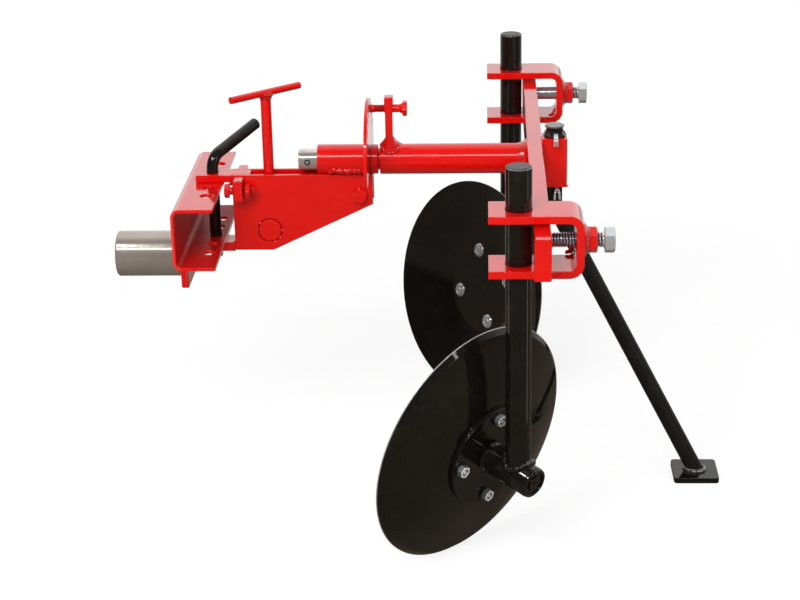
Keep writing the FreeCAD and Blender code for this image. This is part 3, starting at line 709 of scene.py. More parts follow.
# ---------------------------------------------------------------- bench
class Work:
    """One piece on the bench: gathers skins in millimetres, then becomes an object."""

    def __init__(self, name: str, finish: Finish, crease: float = 34.0) -> None:
        """Start a piece.

        Args:
            name: name of the piece.
            finish: finish of the first skins.
            crease: angle in degrees above which an edge stays sharp.
        """
        self.name = name
        self.crease = crease
        self.bm = bmesh.new()
        self.finishes: list[Finish] = []
        self.current = 0
        self.use(finish)

    def use(self, finish: Finish) -> "Work":
        """Give the next skins this finish.

        Args:
            finish: the finish.

        Returns:
            The piece.
        """
        if finish not in self.finishes:
            self.finishes.append(finish)
        self.current = self.finishes.index(finish)
        return self

    def face(self, corners: Sequence[bmesh.types.BMVert]) -> None:
        """Close one face.

        Args:
            corners: its corners, where one may stand twice.
        """
        unique = list(dict.fromkeys(corners))
        if len(unique) > 2 and self.bm.faces.get(unique) is None:
            self.bm.faces.new(unique).material_index = self.current

    def ring(self, points: Sequence[Vector]) -> list[bmesh.types.BMVert]:
        """Lay down the points of one ring."""
        return [self.bm.verts.new(point) for point in points]

    def skin(self, rings: Sequence[Sequence[bmesh.types.BMVert]]) -> None:
        """Stretch faces from ring to ring.

        Args:
            rings: closed rings in order; a ring of one point is a tip.
        """
        for one, two in zip(rings, rings[1:]):
            if len(one) == 1 or len(two) == 1:
                tip, rim = (one[0], two) if len(one) == 1 else (two[0], one)
                for index in range(len(rim)):
                    self.face((tip, rim[index], rim[(index + 1) % len(rim)]))
                continue
            for index in range(len(one)):
                after = (index + 1) % len(one)
                self.face((one[index], one[after], two[after], two[index]))

    def lathe(self, axis: Axis, profile: Sequence[Flat], closed: bool = False, steps: int = 64,
              ripple: Optional[Callable[[float, float, float], float]] = None) -> "Work":
        """Turn a profile about an axis.

        Args:
            axis: the centre line.
            profile: points of radius and distance along the line.
            closed: whether the profile joins its own start, as round a bore.
            steps: divisions round the axis.
            ripple: radius added at a radius, an angle and a distance.

        Returns:
            The piece.
        """
        rings = []
        for radius, reach in profile:
            if radius < 1e-6:
                rings.append(self.ring([axis.at(0, 0, reach)]))
                continue
            points = []
            for angle in turns(steps):
                extra = ripple(radius, angle, reach) if ripple else 0.0
                points.append(axis.at(radius + extra, angle, reach))
            rings.append(self.ring(points))
        if closed:
            rings.append(rings[0])
        self.skin(rings)
        return self

    def rod(self, axis: Axis, radius: float, length: float, edge: float, start: float = 0.0,
            steps: int = 40) -> "Work":
        """Turn a plain bar with broken edges.

        Args:
            axis: the centre line.
            radius: radius of the bar.
            length: its length.
            edge: rounding of its edges.
            start: where it starts along the line.
            steps: divisions round the line.

        Returns:
            The piece.
        """
        end = start + length
        return self.lathe(axis, soft([(0, start), (radius, start), (radius, end), (0, end)], edge, steps=3),
                          steps=steps)

    def pipe(self, axis: Axis, radius: float, bore: float, length: float, edge: float,
             steps: int = 96) -> "Work":
        """Turn a plain tube with broken edges.

        Args:
            axis: the centre line, from one end.
            radius: outer radius.
            bore: inner radius.
            length: its length.
            edge: rounding of its edges.
            steps: divisions round the line.

        Returns:
            The piece.
        """
        profile = soft([(bore, 0), (radius, 0), (radius, length), (bore, length)], edge, closed=True, steps=3)
        return self.lathe(axis, profile, closed=True, steps=steps)

    def slab(self, outline: Sequence[Flat], thick: float, place: Place, edge: float = 0.8,
             holes: Sequence[Sequence[Flat]] = (), stations: Sequence[float] = (),
             inner: Optional[Finish] = None) -> "Work":
        """Cut a plate from an outline, break its edges and set it in place.

        Args:
            outline: outer loop.
            thick: thickness of the plate.
            place: turns flat coordinates and a depth into a point in space.
            edge: rounding of the plate's edges.
            holes: loops of the holes.
            stations: flat distances along the first coordinate where the plate is divided.
            inner: finish of the face at depth zero, when it differs.

        Returns:
            The piece.
        """
        loops = [list(outline) if area(outline) > 0 else list(reversed(outline))]
        loops += [list(hole) if area(hole) < 0 else list(reversed(hole)) for hole in holes]
        arcs = 3
        levels = []
        for step in range(arcs + 1):
            turn = math.pi / 2 * step / arcs
            levels.append((edge * (1 - math.sin(turn)), edge * (1 - math.cos(turn))))
        levels += [(shift, thick - depth) for shift, depth in reversed(levels)]
        faces: dict[int, list[list[bmesh.types.BMVert]]] = {0: [], len(levels) - 1: []}
        for loop in loops:
            rings = []
            for number, (shift, depth) in enumerate(levels):
                ring = self.ring([place(u, v, depth) for u, v in inset(loop, shift)])
                rings.append(ring)
                if number in faces:
                    faces[number].append(ring)
            self.skin(rings)
        flat = [inset(loop, edge) for loop in loops]
        points = [Vector(point) for loop in flat for point in loop]
        edges, first = [], 0
        for loop in flat:
            edges += [(first + i, first + (i + 1) % len(loop)) for i in range(len(loop))]
            first += len(loop)
        for station in stations:
            on_line = [i for i, point in enumerate(points[:len(flat[0])]) if abs(point.x - station) < 1e-4]
            if len(on_line) >= 2:
                on_line.sort(key=lambda i: points[i].y)
                edges.append((on_line[0], on_line[-1]))
        spots, _, triangles, sources, _, _ = delaunay_2d_cdt(points, edges, [], 1, 1e-7)
        outside = self.finishes[self.current]
        for number, rings in faces.items():
            self.use(inner if inner and number == 0 else outside)
            known = [vert for ring in rings for vert in ring]
            verts = []
            for index, spot in enumerate(spots):
                if sources[index]:
                    verts.append(known[sources[index][0]])
                else:
                    verts.append(self.bm.verts.new(place(spot.x, spot.y, levels[number][1])))
            for triangle in triangles:
                middle = sum((spots[i] for i in triangle), Vector((0, 0))) / 3
                if not inside(middle, flat[0]) or any(inside(middle, hole) for hole in flat[1:]):
                    continue
                self.face([verts[i] for i in triangle])
        return self.use(outside)

    def hexagon(self, axis: Axis, flats: float, start: float, height: float, bore: float = 0.0,
                crown: tuple[bool, bool] = (True, True)) -> "Work":
        """A hexagon head or nut with turned chamfers.

        Args:
            axis: centre line; a flat's corner stands at its clock direction.
            flats: distance across flats.
            start: where it starts along the axis.
            height: its height.
            bore: radius of the hole through it.
            crown: whether its low and its high face are chamfered.

        Returns:
            The piece.
        """
        half, angles = flats / 2, turns(96)
        limit = half / math.cos(math.pi / 6) * 0.985
        flat = half * 0.94

        def reach_at(angle: float) -> float:
            """Radius of the hexagon at an angle, with its corners just broken."""
            return min(half / math.cos((angle % (math.pi / 3)) - math.pi / 6), limit)

        def middle(level: float) -> list[bmesh.types.BMVert]:
            """The hole's ring on one face, or the centre of a face with no hole."""
            return self.ring([axis.at(bore, a, level) for a in angles] if bore else [axis.at(0, 0, level)])

        rings = [middle(start)]
        for end, sign, chamfer in ((start, 1, crown[0]), (start + height, -1, crown[1])):
            disc = self.ring([axis.at(flat, a, end) for a in angles])
            drop = sign * (0.58 if chamfer else 0.08)
            edge = self.ring([axis.at(reach_at(a), a, end + (reach_at(a) - flat) * drop) for a in angles])
            rings += [disc, edge] if sign > 0 else [edge, disc]
        rings.append(middle(start + height))
        if bore:
            rings.append(rings[0])
        self.skin(rings)
        return self

    def thread(self, axis: Axis, diameter: float, start: float, end: float, pitch: float) -> "Work":
        """A screw thread with its own ends.

        Args:
            axis: centre line.
            diameter: outside of the thread.
            start: where it starts along the axis.
            end: where it ends.
            pitch: distance between crests.

        Returns:
            The piece.
        """
        steps, parts = 36, 5
        groove, shade = 0.62 * pitch, 0.36 * pitch
        count = max(2, int((end - start) / pitch * parts))
        rings = [self.ring([axis.at(0, 0, start)])]
        for row in range(count + 1):
            reach = start + (end - start) * row / count
            points = []
            for index, angle in enumerate(turns(steps)):
                phase = (reach / pitch - index / steps) % 1.0
                points.append(axis.at(diameter / 2 - groove * abs(2 * phase - 1), angle, reach))
            rings.append(self.ring(points))
        rings.append(self.ring([axis.at(0, 0, end)]))
        first, crest = len(self.bm.faces), self.current
        self.skin(rings)
        # Faces deep in the groove are repainted near black as painted shade.
        self.use(ROOT_PAINTED_SHADE)
        self.bm.faces.ensure_lookup_table()
        for face in self.bm.faces[first:]:
            spot = face.calc_center_median() - axis.origin
            depth = diameter / 2 - (spot - axis.along * spot.dot(axis.along)).length
            if shade < depth < pitch:
                face.material_index = self.current
        self.current = crest
        return self

    def tube(self, path: Sequence[Vector], radius: Callable[[float], float] | float, sides: int = 32,
             closed: bool = False, tip: float = 0.0, floor: Optional[float] = None) -> "Work":
        """Sweep a round section along a path.

        Args:
            path: the centre line.
            radius: radius, or the radius at a share of the way.
            sides: divisions round the path.
            closed: whether the path is a loop.
            tip: chamfer at both ends.
            floor: height at which the last end is cut level.

        Returns:
            The piece.
        """
        count = len(path)
        size = radius if callable(radius) else (lambda share: radius)
        ahead = [
            (path[(i + 1) % count] - path[i - 1] if closed else
             path[min(i + 1, count - 1)] - path[max(i - 1, 0)]).normalized()
            for i in range(count)
        ]
        side = ahead[0].orthogonal().normalized()
        rings = []
        for index, spot in enumerate(path):
            side = (side - ahead[index] * side.dot(ahead[index])).normalized()
            other = ahead[index].cross(side)
            girth = size(index / max(1, count - 1))

            def hoop(shrink: float, shift: float) -> list[Vector]:
                """Points of one ring.

                Args:
                    shrink: how much smaller its radius is.
                    shift: how far it is moved along the path.

                Returns:
                    The points.
                """
                return [
                    spot + ahead[index] * shift
                    + (side * math.cos(a) + other * math.sin(a)) * (girth - shrink)
                    for a in turns(sides)
                ]

            points = hoop(0.0, 0.0)
            if not closed and index in (0, count - 1):
                sign = -1 if index == 0 else 1
                if index and floor is not None:
                    points = [p + ahead[index] * ((floor - p.z) / ahead[index].z) for p in points]
                    rings.append(self.ring(points))
                    continue
                if tip:
                    inner = self.ring(hoop(tip, 0.0))
                    outer = self.ring(hoop(0.0, -sign * tip))
                    rings += [inner, outer] if index == 0 else [outer, inner]
                    continue
            rings.append(self.ring(points))
        if closed:
            rings.append(rings[0])
            self.skin(rings)
            return self
        self.skin(rings)
        self.face(list(reversed(rings[0])))
        self.face(rings[-1])
        return self

    def bead(self, path: Sequence[Vector], radius: float, seed: int, closed: bool = False,
             scale: float = 3.2) -> "Work":
        """A hand-laid weld bead with its ripples.

        Args:
            path: where it is laid.
            radius: its half width.
            seed: picks its unevenness.
            closed: whether it runs round to its own start.
            scale: distance between ripples.

        Returns:
            The piece.
        """
        spread = random.Random(seed)
        points, source = [], list(path) + ([path[0]] if closed else [])
        for start, end in zip(source, source[1:]):
            count = max(1, int((end - start).length / (scale / 5)))
            points += [start.lerp(end, i / count) for i in range(count)]
        if not closed:
            points.append(source[-1])
        shift = spread.random() * 50
        reach, radii, line = 0.0, [], []
        for index, point in enumerate(points):
            if index:
                reach += (point - points[index - 1]).length
            wave = abs(math.sin(math.pi * reach / scale))
            rough = noise(Vector((reach / 4.0, shift, 0.0)))
            girth = radius * (0.74 + 0.20 * wave + 0.22 * rough)
            if not closed:
                share = index / max(1, len(points) - 1)
                girth *= min(1.0, 0.45 + 6 * share, 0.45 + 6 * (1 - share))
            radii.append(girth)
            sway = Vector((noise(Vector((reach / 6, 9, shift))), noise(Vector((5, reach / 6, shift))),
                           noise(Vector((shift, 7, reach / 6)))))
            line.append(point + sway * radius * 0.22)
        last = len(line) - 1
        return self.tube(line, lambda share: radii[round(share * last)], sides=12, closed=closed)

    def collar(self, axis: Axis, tall: float, reach: float, radius: float, seed: int,
               steps: int = 72) -> "Work":
        """A weld fillet round a joint: it climbs from a face onto a round neck.

        Args:
            axis: centre line, with its origin on the face and pointing off it.
            tall: how far it spreads over the face, beyond the neck.
            reach: how far it climbs the neck.
            radius: radius of the neck.
            seed: picks its unevenness.
            steps: divisions round the joint.

        Returns:
            The piece.
        """
        shift = random.Random(seed).random() * 40

        def lumps(size: float, angle: float, height: float) -> float:
            """Unevenness of the fillet.

            Args:
                size: radius of the fillet here.
                angle: where it is round the joint.
                height: how far it is off the face.

            Returns:
                The radius to add.
            """
            if size <= radius - 0.9:
                return 0.0
            arc = angle * radius
            wave = abs(math.sin(math.pi * arc / 3.6)) * 0.16
            spot = Vector((math.cos(angle) * 2.2, math.sin(angle) * 2.2, shift + height / 6))
            return (wave + 0.30 * noise(spot)) * min(tall, 4.0) * min(1.0, (size - radius + 1) / tall + 0.3)

        profile = [(radius - 1.0, -0.4)]
        for step in range(7):
            part = step / 6
            bulge = 1 - (1 - part) ** 1.5
            profile.append((radius + tall * (1 - bulge), reach * part ** 1.25))
        profile.append((radius - 1.0, reach))
        return self.lathe(axis, profile, closed=True, steps=steps, ripple=lumps)

    def close(self, slot: Slot, *nodes: str, body: str = "") -> bpy.types.Object:
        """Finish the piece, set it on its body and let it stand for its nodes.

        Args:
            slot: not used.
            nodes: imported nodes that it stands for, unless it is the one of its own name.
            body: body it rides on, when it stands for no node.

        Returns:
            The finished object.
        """
        nodes = nodes or (() if body else (self.name,))
        bmesh.ops.recalc_face_normals(self.bm, faces=self.bm.faces)
        bmesh.ops.scale(self.bm, vec=Vector((MM, MM, MM)), verts=self.bm.verts)
        mesh = bpy.data.meshes.new(self.name)
        self.bm.to_mesh(mesh)
        self.bm.free()
        mesh.polygons.foreach_set("use_smooth", [True] * len(mesh.polygons))
        mesh.set_sharp_from_angle(angle=math.radians(self.crease))
        for finish in self.finishes:
            mesh.materials.append(mixed(finish))
        piece = bpy.data.objects.new(self.name, mesh)
        bpy.context.scene.collection.objects.link(piece)
        level = piece.modifiers.new("even_shading", "WEIGHTED_NORMAL")
        level.keep_sharp = True
        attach(piece, body or HOMES[nodes[0]])
        if nodes:
            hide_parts(*nodes)
        return piece


def upright(x: float, y: float, z: float) -> Axis:
    """A vertical axis that points up."""
    return Axis.of((x, y, z), (0, 0, 1), (1, 0, 0))


def standing(low: float) -> Place:
    """Stands a plate up across X, from its low face."""
    return lambda u, v, w: Vector((low + w, u, v))


def lying(low: float) -> Place:
    """Lays a plate down level, from its underside."""
    return lambda u, v, w: Vector((u, v, low + w))


# ---------------------------------------------------------------- toolbar and pivot
@dataclass
class Toolbar:
    """The flat toolbar with sawn ends."""

    corner: float = 1.8
    edge: float = 0.9

    def build(self) -> list[bpy.types.Object]:
        """Make the toolbar.

        Returns:
            The toolbar alone.
        """
        bar = span("toolbar_bar")
        work = Work("toolbar", RED)
        work.slab(
            block(0, 0, bar.size.x, bar.size.z, self.corner), bar.size.y,
            lambda u, v, w: Vector((bar.low.x + u, bar.low.y + w, bar.low.z + v)), self.edge,
        )
        return [work.close(Slot.RED, "toolbar_bar")]


@dataclass
class PivotTube:
    """Tube welded to the toolbar, the shaft in it and the index arm on it."""

    edge: float = 1.2
    weld_tall: float = 8.0
    weld_long: float = 17.0
    stem_thick: float = 12.6
    boss_high: float = 27.0
    mound_long: float = 19.0
    mound_wide: float = 15.0
    mound_high: float = 17.0
    bolt_thread: float = 30.0
    bolt_flats: float = 24.0
    bolt_shank: float = 13.6
    bolt_head: float = 8.0
    shaft_bore: float = 11.0
    collar_round: float = 5.0

    def build(self) -> list[bpy.types.Object]:
        """Make the tube, the arm, its bolt, the collar and the shaft."""
        return [self.tube(), self.arm(), self.bolt(), self.collar(), self.shaft(), self.pin()]

    def tube(self) -> bpy.types.Object:
        """The tube and its weld to the toolbar.

        Returns:
            The finished piece.
        """
        tube, shaft = span("main_tube"), span("pivot_shaft")
        work = Work("pivot_tube", RED)
        work.pipe(tube.line(), tube.size.z / 2, shaft.size.z / 2 + FIT, tube.size.x, self.edge)
        work.use(RED_WELD)
        work.collar(tube.line(-1), self.weld_tall, self.weld_long, tube.size.z / 2, 11, steps=96)
        return work.close(Slot.RED, "main_tube")

    def arm(self) -> bpy.types.Object:
        """The index arm with its welded foot and its boss.

        Returns:
            The finished piece.
        """
        arm, tube = span("index_arm"), span("main_tube")
        work = Work("index_arm", RED)
        mid, wide = arm.mid, arm.size.y
        split = arm.high.z - self.boss_high
        stem = self.stem_thick / 2

        def place(base: float) -> Place:
            """Stands a block at a height over the arm's middle."""
            return lambda u, v, w: Vector((mid.x + u, mid.y + v, base + w))

        base = tube.high.z - 3
        work.slab(block(-stem, 1 - wide / 2, stem, wide / 2 - 1, 2.5), split + 3 - base, place(base), 0.8)
        half = arm.size.x / 2 + 0.4
        work.slab(block(-half, -wide / 2, half, wide / 2, 3.0), self.boss_high, place(split), 2.2)
        work.use(RED_WELD)
        radius = tube.size.z / 2
        rings = []
        for step in range(8):
            part = step / 7
            points = []
            for angle in turns(64):
                ripple = 1 + 0.05 * math.sin(9 * angle + 2 * part) + 0.07 * noise(
                    Vector((math.cos(angle) * 2, math.sin(angle) * 2, part * 3)))
                shrink = (1 - part) ** 1.8
                out = (self.mound_long - stem) * shrink * ripple + stem * 0.98
                off = (self.mound_wide - wide / 2 + 1) * shrink * ripple + (wide / 2 - 1) * 0.98
                squeeze = max(abs(math.cos(angle)), abs(math.sin(angle))) ** (0.75 * part)
                lean = 1.25 if math.cos(angle) > 0 else 0.86
                x = math.cos(angle) * (out - stem) * lean / squeeze + math.cos(angle) * stem / squeeze
                y = math.sin(angle) * off / squeeze
                skin = math.sqrt(max(1.0, radius ** 2 - min(abs(y), radius - 0.5) ** 2))
                z = tube.mid.z + skin * (1 - part) + (radius + self.mound_high) * part - 0.3
                points.append(Vector((mid.x + x, mid.y + y, z)))
            rings.append(work.ring(points))
        work.skin(rings)
        work.face(rings[-1])
        round_foot = ((-12.0, 0.42), (-9.0, 0.72), (-2.0, 0.92), (6.0, 0.94), (13.0, 0.74), (17.0, 0.44))
        for side in Side:
            path = [tube.mid + Vector((arm.mid.x - tube.mid.x + along, side.value * radius * math.sin(lean),
                                       radius * math.cos(lean))) for along, lean in round_foot]
            work.bead(path, 4.2, 61 + side.value, scale=4.4)
        return work.close(Slot.RED)

    def bolt(self) -> bpy.types.Object:
        """The bolt that drops into the index plate.

        Returns:
            The finished piece.
        """
        bolt = span("index_bolt")
        line = Axis.of((bolt.low.x, bolt.mid.y, bolt.mid.z), (1, 0, 0), (0, 1, 0))
        work = Work("index_bolt", RED)
        length, radius = bolt.size.x - self.bolt_head, self.bolt_shank / 2
        work.rod(line, radius, 8, 1.2)
        work.thread(line, self.bolt_shank - 0.2, 7, self.bolt_thread, 2.0)
        work.rod(line, radius, length - self.bolt_thread + 1, 0.6, self.bolt_thread - 1)
        work.lathe(line, soft([(0, length - 5), (radius, length - 5), (radius + 2.4, length), (0, length)],
                              0.8), steps=40)
        work.hexagon(line, self.bolt_flats, length, self.bolt_head)
        return work.close(Slot.RED)

    def collar(self) -> bpy.types.Object:
        """The collar between the tube and the index plate.

        Returns:
            The finished piece.
        """
        ring, shaft = span("shaft_collar"), span("pivot_shaft")
        outer, bore, long = ring.size.z / 2, shaft.size.z / 2 + FIT, ring.size.x
        profile = soft([(bore, 0), (outer, 0, 1.0), (outer, long, self.collar_round), (bore, long, 0.5)], 0.3,
                       closed=True)
        work = Work("shaft_collar", RED)
        work.lathe(ring.line(), profile, closed=True, steps=96)
        return work.close(Slot.RED)

    def shaft(self) -> bpy.types.Object:
        """The turned shaft: bright at its free end, painted in the gap by the tube.

        Returns:
            The finished piece.
        """
        shaft, collar, sleeve = span("pivot_shaft"), span("shaft_collar"), span("pivot_sleeve")
        radius, bore, split = shaft.size.z / 2, self.shaft_bore, sleeve.low.x - shaft.low.x + 2
        work = Work("pivot_shaft", SHEEN)
        work.lathe(shaft.line(), soft([(bore, split), (bore, 0, 0.8), (radius - 1.2, 0, 0.5),
                                       (radius - 1.0, 1.6, 0.4), (radius, 2.2, 0.6), (radius, split)], 0.6),
                   steps=96)
        work.use(RED)
        gap = collar.low.x - shaft.low.x - 1
        work.pipe(shaft.line().moved(gap), radius - 0.02, bore, shaft.size.x - gap, 0.4)
        return work.close(Slot.STEEL)

    def pin(self) -> bpy.types.Object:
        """The spring pin through the shaft end.

        Returns:
            The finished piece.
        """
        pin, shaft = span("shaft_pin"), span("pivot_shaft")
        work = Work("shaft_pin", ZINC)
        radius = pin.size.x / 2
        start = shaft.mid.y - shaft.size.y / 2
        line = Axis.of((pin.mid.x, start + 0.4, pin.mid.z), (0, 1, 0))
        work.pipe(line, radius - 1.6, 1.4, shaft.size.y - 0.4, 0.7, steps=32)
        # Dark rings round the pin ends: painted shade in the gap of the hole.
        work.use(WEAR_AND_PAINTED_SHADE)
        for end, turn in ((0, 1), (shaft.size.y - 0.8, -1)):
            work.lathe(line, soft([(radius - 1.5, end - 0.5 * turn), (radius + 0.6, end - 0.5 * turn),
                                   (radius + 0.6, end + 2 * turn), (radius - 1.5, end + 2 * turn)], 0.2,
                                  closed=True), closed=True, steps=32)
        return work.close(Slot.STEEL)


@dataclass
class PostClamp:
    """Strap, welded nut and bolt that grip one disc post against the toolbar."""

    side: Side
    wall: float = 12.0
    bend: float = 10.0
    corner: float = 1.2
    edge: float = 1.1
    flats: float = 36.0
    thread: float = 24.0
    pitch: float = 4.4
    head: float = 15.0
    flare_tall: float = 9.0
    flare_long: float = 9.5

    def build(self) -> list[bpy.types.Object]:
        """Make the strap, the nut and the bolt."""
        return [self.strap(), self.nut(), self.bolt()]

    def strap(self) -> bpy.types.Object:
        """The bent strap with its two post holes.

        Returns:
            The finished piece.
        """
        word = self.side.word
        box, post = span(word + "_clamp_strap"), span(word + "_post")
        half = box.size.z / 2 - self.wall
        leg = box.high.x - self.wall - self.bend - box.low.x
        fold = Fold((box.low.x, box.mid.z - half), 0.0, (leg, 2 * (half - self.bend), leg), self.bend)
        wide = box.size.y / 2
        outline, place = fold.sheet(wide, box.mid.y, self.corner)
        reach = post.mid.x - box.low.x
        grip = post.size.x / 2 + 0.12
        holes = [circle(reach, 0, grip), circle(fold.length - reach, 0, grip),
                 circle(fold.length / 2, 0, self.thread / 2 + 0.2)]
        work = Work(word + "_clamp_strap", RED)
        work.slab(outline, self.wall, place, self.edge, holes, fold.stations())
        work.use(RED_WELD)
        inner = box.mid.y - self.side.value * (wide - 0.5)
        spot = Vector((box.high.x - self.wall - 5, inner, box.mid.z - half + 4.5))
        work.bead([spot + Vector((-9, 0, -2)), spot + Vector((-1, 0, 1)), spot + Vector((3, 0, 12))], 3.4, 5,
                  scale=4.5)
        return work.close(Slot.RED)

    def nut(self) -> bpy.types.Object:
        """The nut welded to the strap.

        Returns:
            The finished piece.
        """
        word = self.side.word
        nut = span(word + "_clamp_nut")
        work = Work(word + "_clamp_nut", RED)
        work.hexagon(nut.line(), self.flats, 0, nut.size.x, bore=self.thread / 2 + 0.2, crown=(False, True))
        work.use(RED_WELD)
        work.collar(nut.line(), self.flare_tall, self.flare_long, self.flats / 2 + 0.6, 21 + self.side.value)
        return work.close(Slot.RED)

    def bolt(self) -> bpy.types.Object:
        """The long clamp bolt with its hexagon head.

        Returns:
            The finished piece.
        """
        word = self.side.word
        bolt, nut = span(word + "_clamp_bolt"), span(word + "_clamp_nut")
        line, neck, inner = bolt.line(), bolt.size.x - self.head, nut.low.x - bolt.low.x
        radius = self.thread / 2
        work = Work(word + "_clamp_bolt", ZINC_BLUE)
        work.rod(line, radius - 1.6, 4, 1.2)
        if self.side is Side.NEAR:
            work.thread(line, self.thread, 2.5, inner + 2, self.pitch)
        else:
            work.rod(line, radius - 0.2, inner, 0.8, 2.5, steps=48)
        work.use(ZINC)
        work.thread(line, self.thread, inner, neck - 3, self.pitch)
        work.lathe(line, soft([(0, neck - 4), (radius - 1.2, neck - 4), (radius - 0.4, neck - 1.5),
                               (radius + 2.5, neck), (0, neck)], 0.6), steps=48)
        work.hexagon(line, self.flats, neck, self.head, crown=(False, True))
        return work.close(Slot.ZINC)


# ---------------------------------------------------------------- hitch
@dataclass
class HitchBlock:
    """Sleeve, index plate, side plates and all that is fixed between them."""

    edge: float = 0.9
    groove: float = 1.3
    kink: float = 172.0
    tail: float = 52.6
    pitch_radius: float = 88.0
    index_hole: float = 7.0
    index_step: float = 15.0
    tie_flats: float = 24.0
    tie_head: float = 9.0
    tie_shank: float = 7.9
    screw_flats: float = 22.0
    screw_head: float = 8.0
    screw_thread: float = 14.0
    tee_turn: float = 43.0
    tee_half: float = 72.0

    def build(self) -> list[bpy.types.Object]:
        """Make the hitch block's pieces.

        Returns:
            The finished pieces.
        """
        pieces = [self.sleeve(), self.index_plate(), *(self.side_plate(side) for side in Side)]
        pieces += [self.cross_pin(), self.tee(), self.tie_bolt(), self.lug("top_lug"), self.lug("bottom_lug")]
        for side in Side:
            pieces += [self.set_block(side), self.set_screw(side)]
        return pieces

    def sleeve(self) -> bpy.types.Object:
        """The sleeve that turns on the shaft, with its two long welds.

        Returns:
            The finished piece.
        """
        sleeve, shaft, plate = span("pivot_sleeve"), span("pivot_shaft"), span("near_side_plate")
        radius, edge = sleeve.size.z / 2, plate.size.y / 2
        work = Work("pivot_sleeve", RED)
        work.pipe(sleeve.line(), radius, shaft.size.z / 2 + FIT, sleeve.size.x, 1.2)
        work.use(RED_WELD)
        for side in Side:
            out = side.value
            y = out * (abs(plate.mid.y) + edge * 0.2)
            z = max(plate.high.z + 0.6, sleeve.mid.z - math.sqrt(radius ** 2 - y ** 2) - 0.3)
            lean = Vector((0, out * 4.6, 4.6))
            path = [Vector((sleeve.high.x - 2, y, z)) + lean, Vector((sleeve.low.x + 30, y, z)) + lean]
            work.bead(path, 6.4, 31 + out, scale=6.4)
            end = Vector((sleeve.low.x + 24, y + out * 1.5, z + 1.0))
            work.bead([end + Vector(step) for step in ((9, out * 4, 8), (0, out * 4, 4), (-6, out * 3, 1))],
                      5.6, 37, scale=7.0)
        return work.close(Slot.RED)

    def index_plate(self) -> bpy.types.Object:
        """The round-topped plate with the index holes.

        Returns:
            The finished piece.
        """
        plate, sleeve = span("index_plate"), span("pivot_sleeve")
        centre, radius, steps = sleeve.mid, plate.size.y / 2, 96
        turn = math.asin((centre.z - plate.low.z) / radius)
        outline: list[Sequence[float]] = []
        for index in range(steps + 1):
            angle = -turn + (math.pi + 2 * turn) * index / steps
            size = 3.0 if index in (0, steps) else 0.0
            outline.append((radius * math.cos(angle), radius * math.sin(angle), size))
        holes = [circle(0, 0, span("pivot_shaft").size.z / 2 + 0.3)]
        for step in range(-4, 5):
            angle = math.radians(step * self.index_step)
            holes.append(circle(self.pitch_radius * math.sin(angle), self.pitch_radius * math.cos(angle),
                                self.index_hole, 32))
        work = Work("index_plate", RED)
        work.slab(soft(outline, 0, closed=True), plate.size.x,
                  lambda u, v, w: Vector((plate.low.x + w, centre.y + u, centre.z + v)), self.edge, holes)
        work.use(RED_WELD)
        ring = Axis.of((plate.low.x, centre.y, centre.z), (-1, 0, 0))
        work.collar(ring, 3.0, 4.0, sleeve.size.z / 2, 44, steps=96)
        return work.close(Slot.RED)

    def side_plate(self, side: Side) -> bpy.types.Object:
        """One of the two long side plates.

        Args:
            side: which plate.

        Returns:
            The finished plate.
        """
        name = side.word + "_side_plate"
        plate, pin, tie = span(name), span("cross_pin"), span("tie_bolt")
        outline = [
            (plate.low.x, plate.low.z, 3.0), (plate.high.x - self.kink, plate.low.z, 12.0),
            (plate.high.x, plate.high.z - self.tail, 2.0), (plate.high.x, plate.high.z, 2.0),
            (plate.low.x, plate.high.z, 2.0),
        ]
        holes = [circle(pin.mid.x, pin.mid.z, pin.size.x / 2 + 0.3, 72),
                 circle(tie.mid.x, tie.mid.z, self.tie_shank + 0.3)]
        work = Work(name, RED)
        work.slab(soft(outline, 2.0, closed=True), plate.size.y,
                  lambda u, v, w: Vector((u, plate.low.y + w, v)), self.edge, holes)
        return work.close(Slot.RED)

    def cross_pin(self) -> bpy.types.Object:
        """The big pin between the plates that the screw works through.

        Returns:
            The finished piece.
        """
        pin = span("cross_pin")
        line = Axis.of((pin.mid.x, pin.low.y, pin.mid.z), (0, 1, 0))
        work = Work("cross_pin", RED)
        work.rod(line, pin.size.x / 2 - self.groove, pin.size.y, 2.0, steps=96)
        return work.close(Slot.RED)

    def tee(self) -> bpy.types.Object:
        """The tee spindle and the bar welded across it.

        Returns:
            The finished piece.
        """
        spindle, bar = span("tee_spindle"), span("tee_bar")
        work = Work("tee_handle", RED)
        line = upright(spindle.mid.x, spindle.mid.y, spindle.low.z)
        radius, girth = spindle.size.x / 2, bar.size.z / 2
        work.rod(line, radius, bar.mid.z - girth * 0.3 - spindle.low.z, 1.6, steps=64)
        lead = math.radians(self.tee_turn)
        run = Vector((math.cos(lead), math.sin(lead), 0))
        cross = Axis.of(bar.mid - run * self.tee_half, run)
        work.rod(cross, girth, 2 * self.tee_half, 0.9, steps=48)
        work.use(RED_WELD)
        knot = Axis.of(bar.mid - Vector((0, 0, girth * 0.2)), (0, 0, -1), (1, 0, 0))
        work.collar(knot, 6.4, 13.0, radius - 0.4, 52)
        for sign in (-1, 1):
            off = run.cross(Vector((0, 0, 1))) * sign * girth * 0.8
            rise = Vector((0, 0, girth * 0.4))
            work.bead([bar.mid + off - run * radius - rise, bar.mid + off * 1.1,
                       bar.mid + off + run * radius - rise], 3.0, 54 + sign)
        return work.close(Slot.RED, "tee_spindle", "tee_bar")

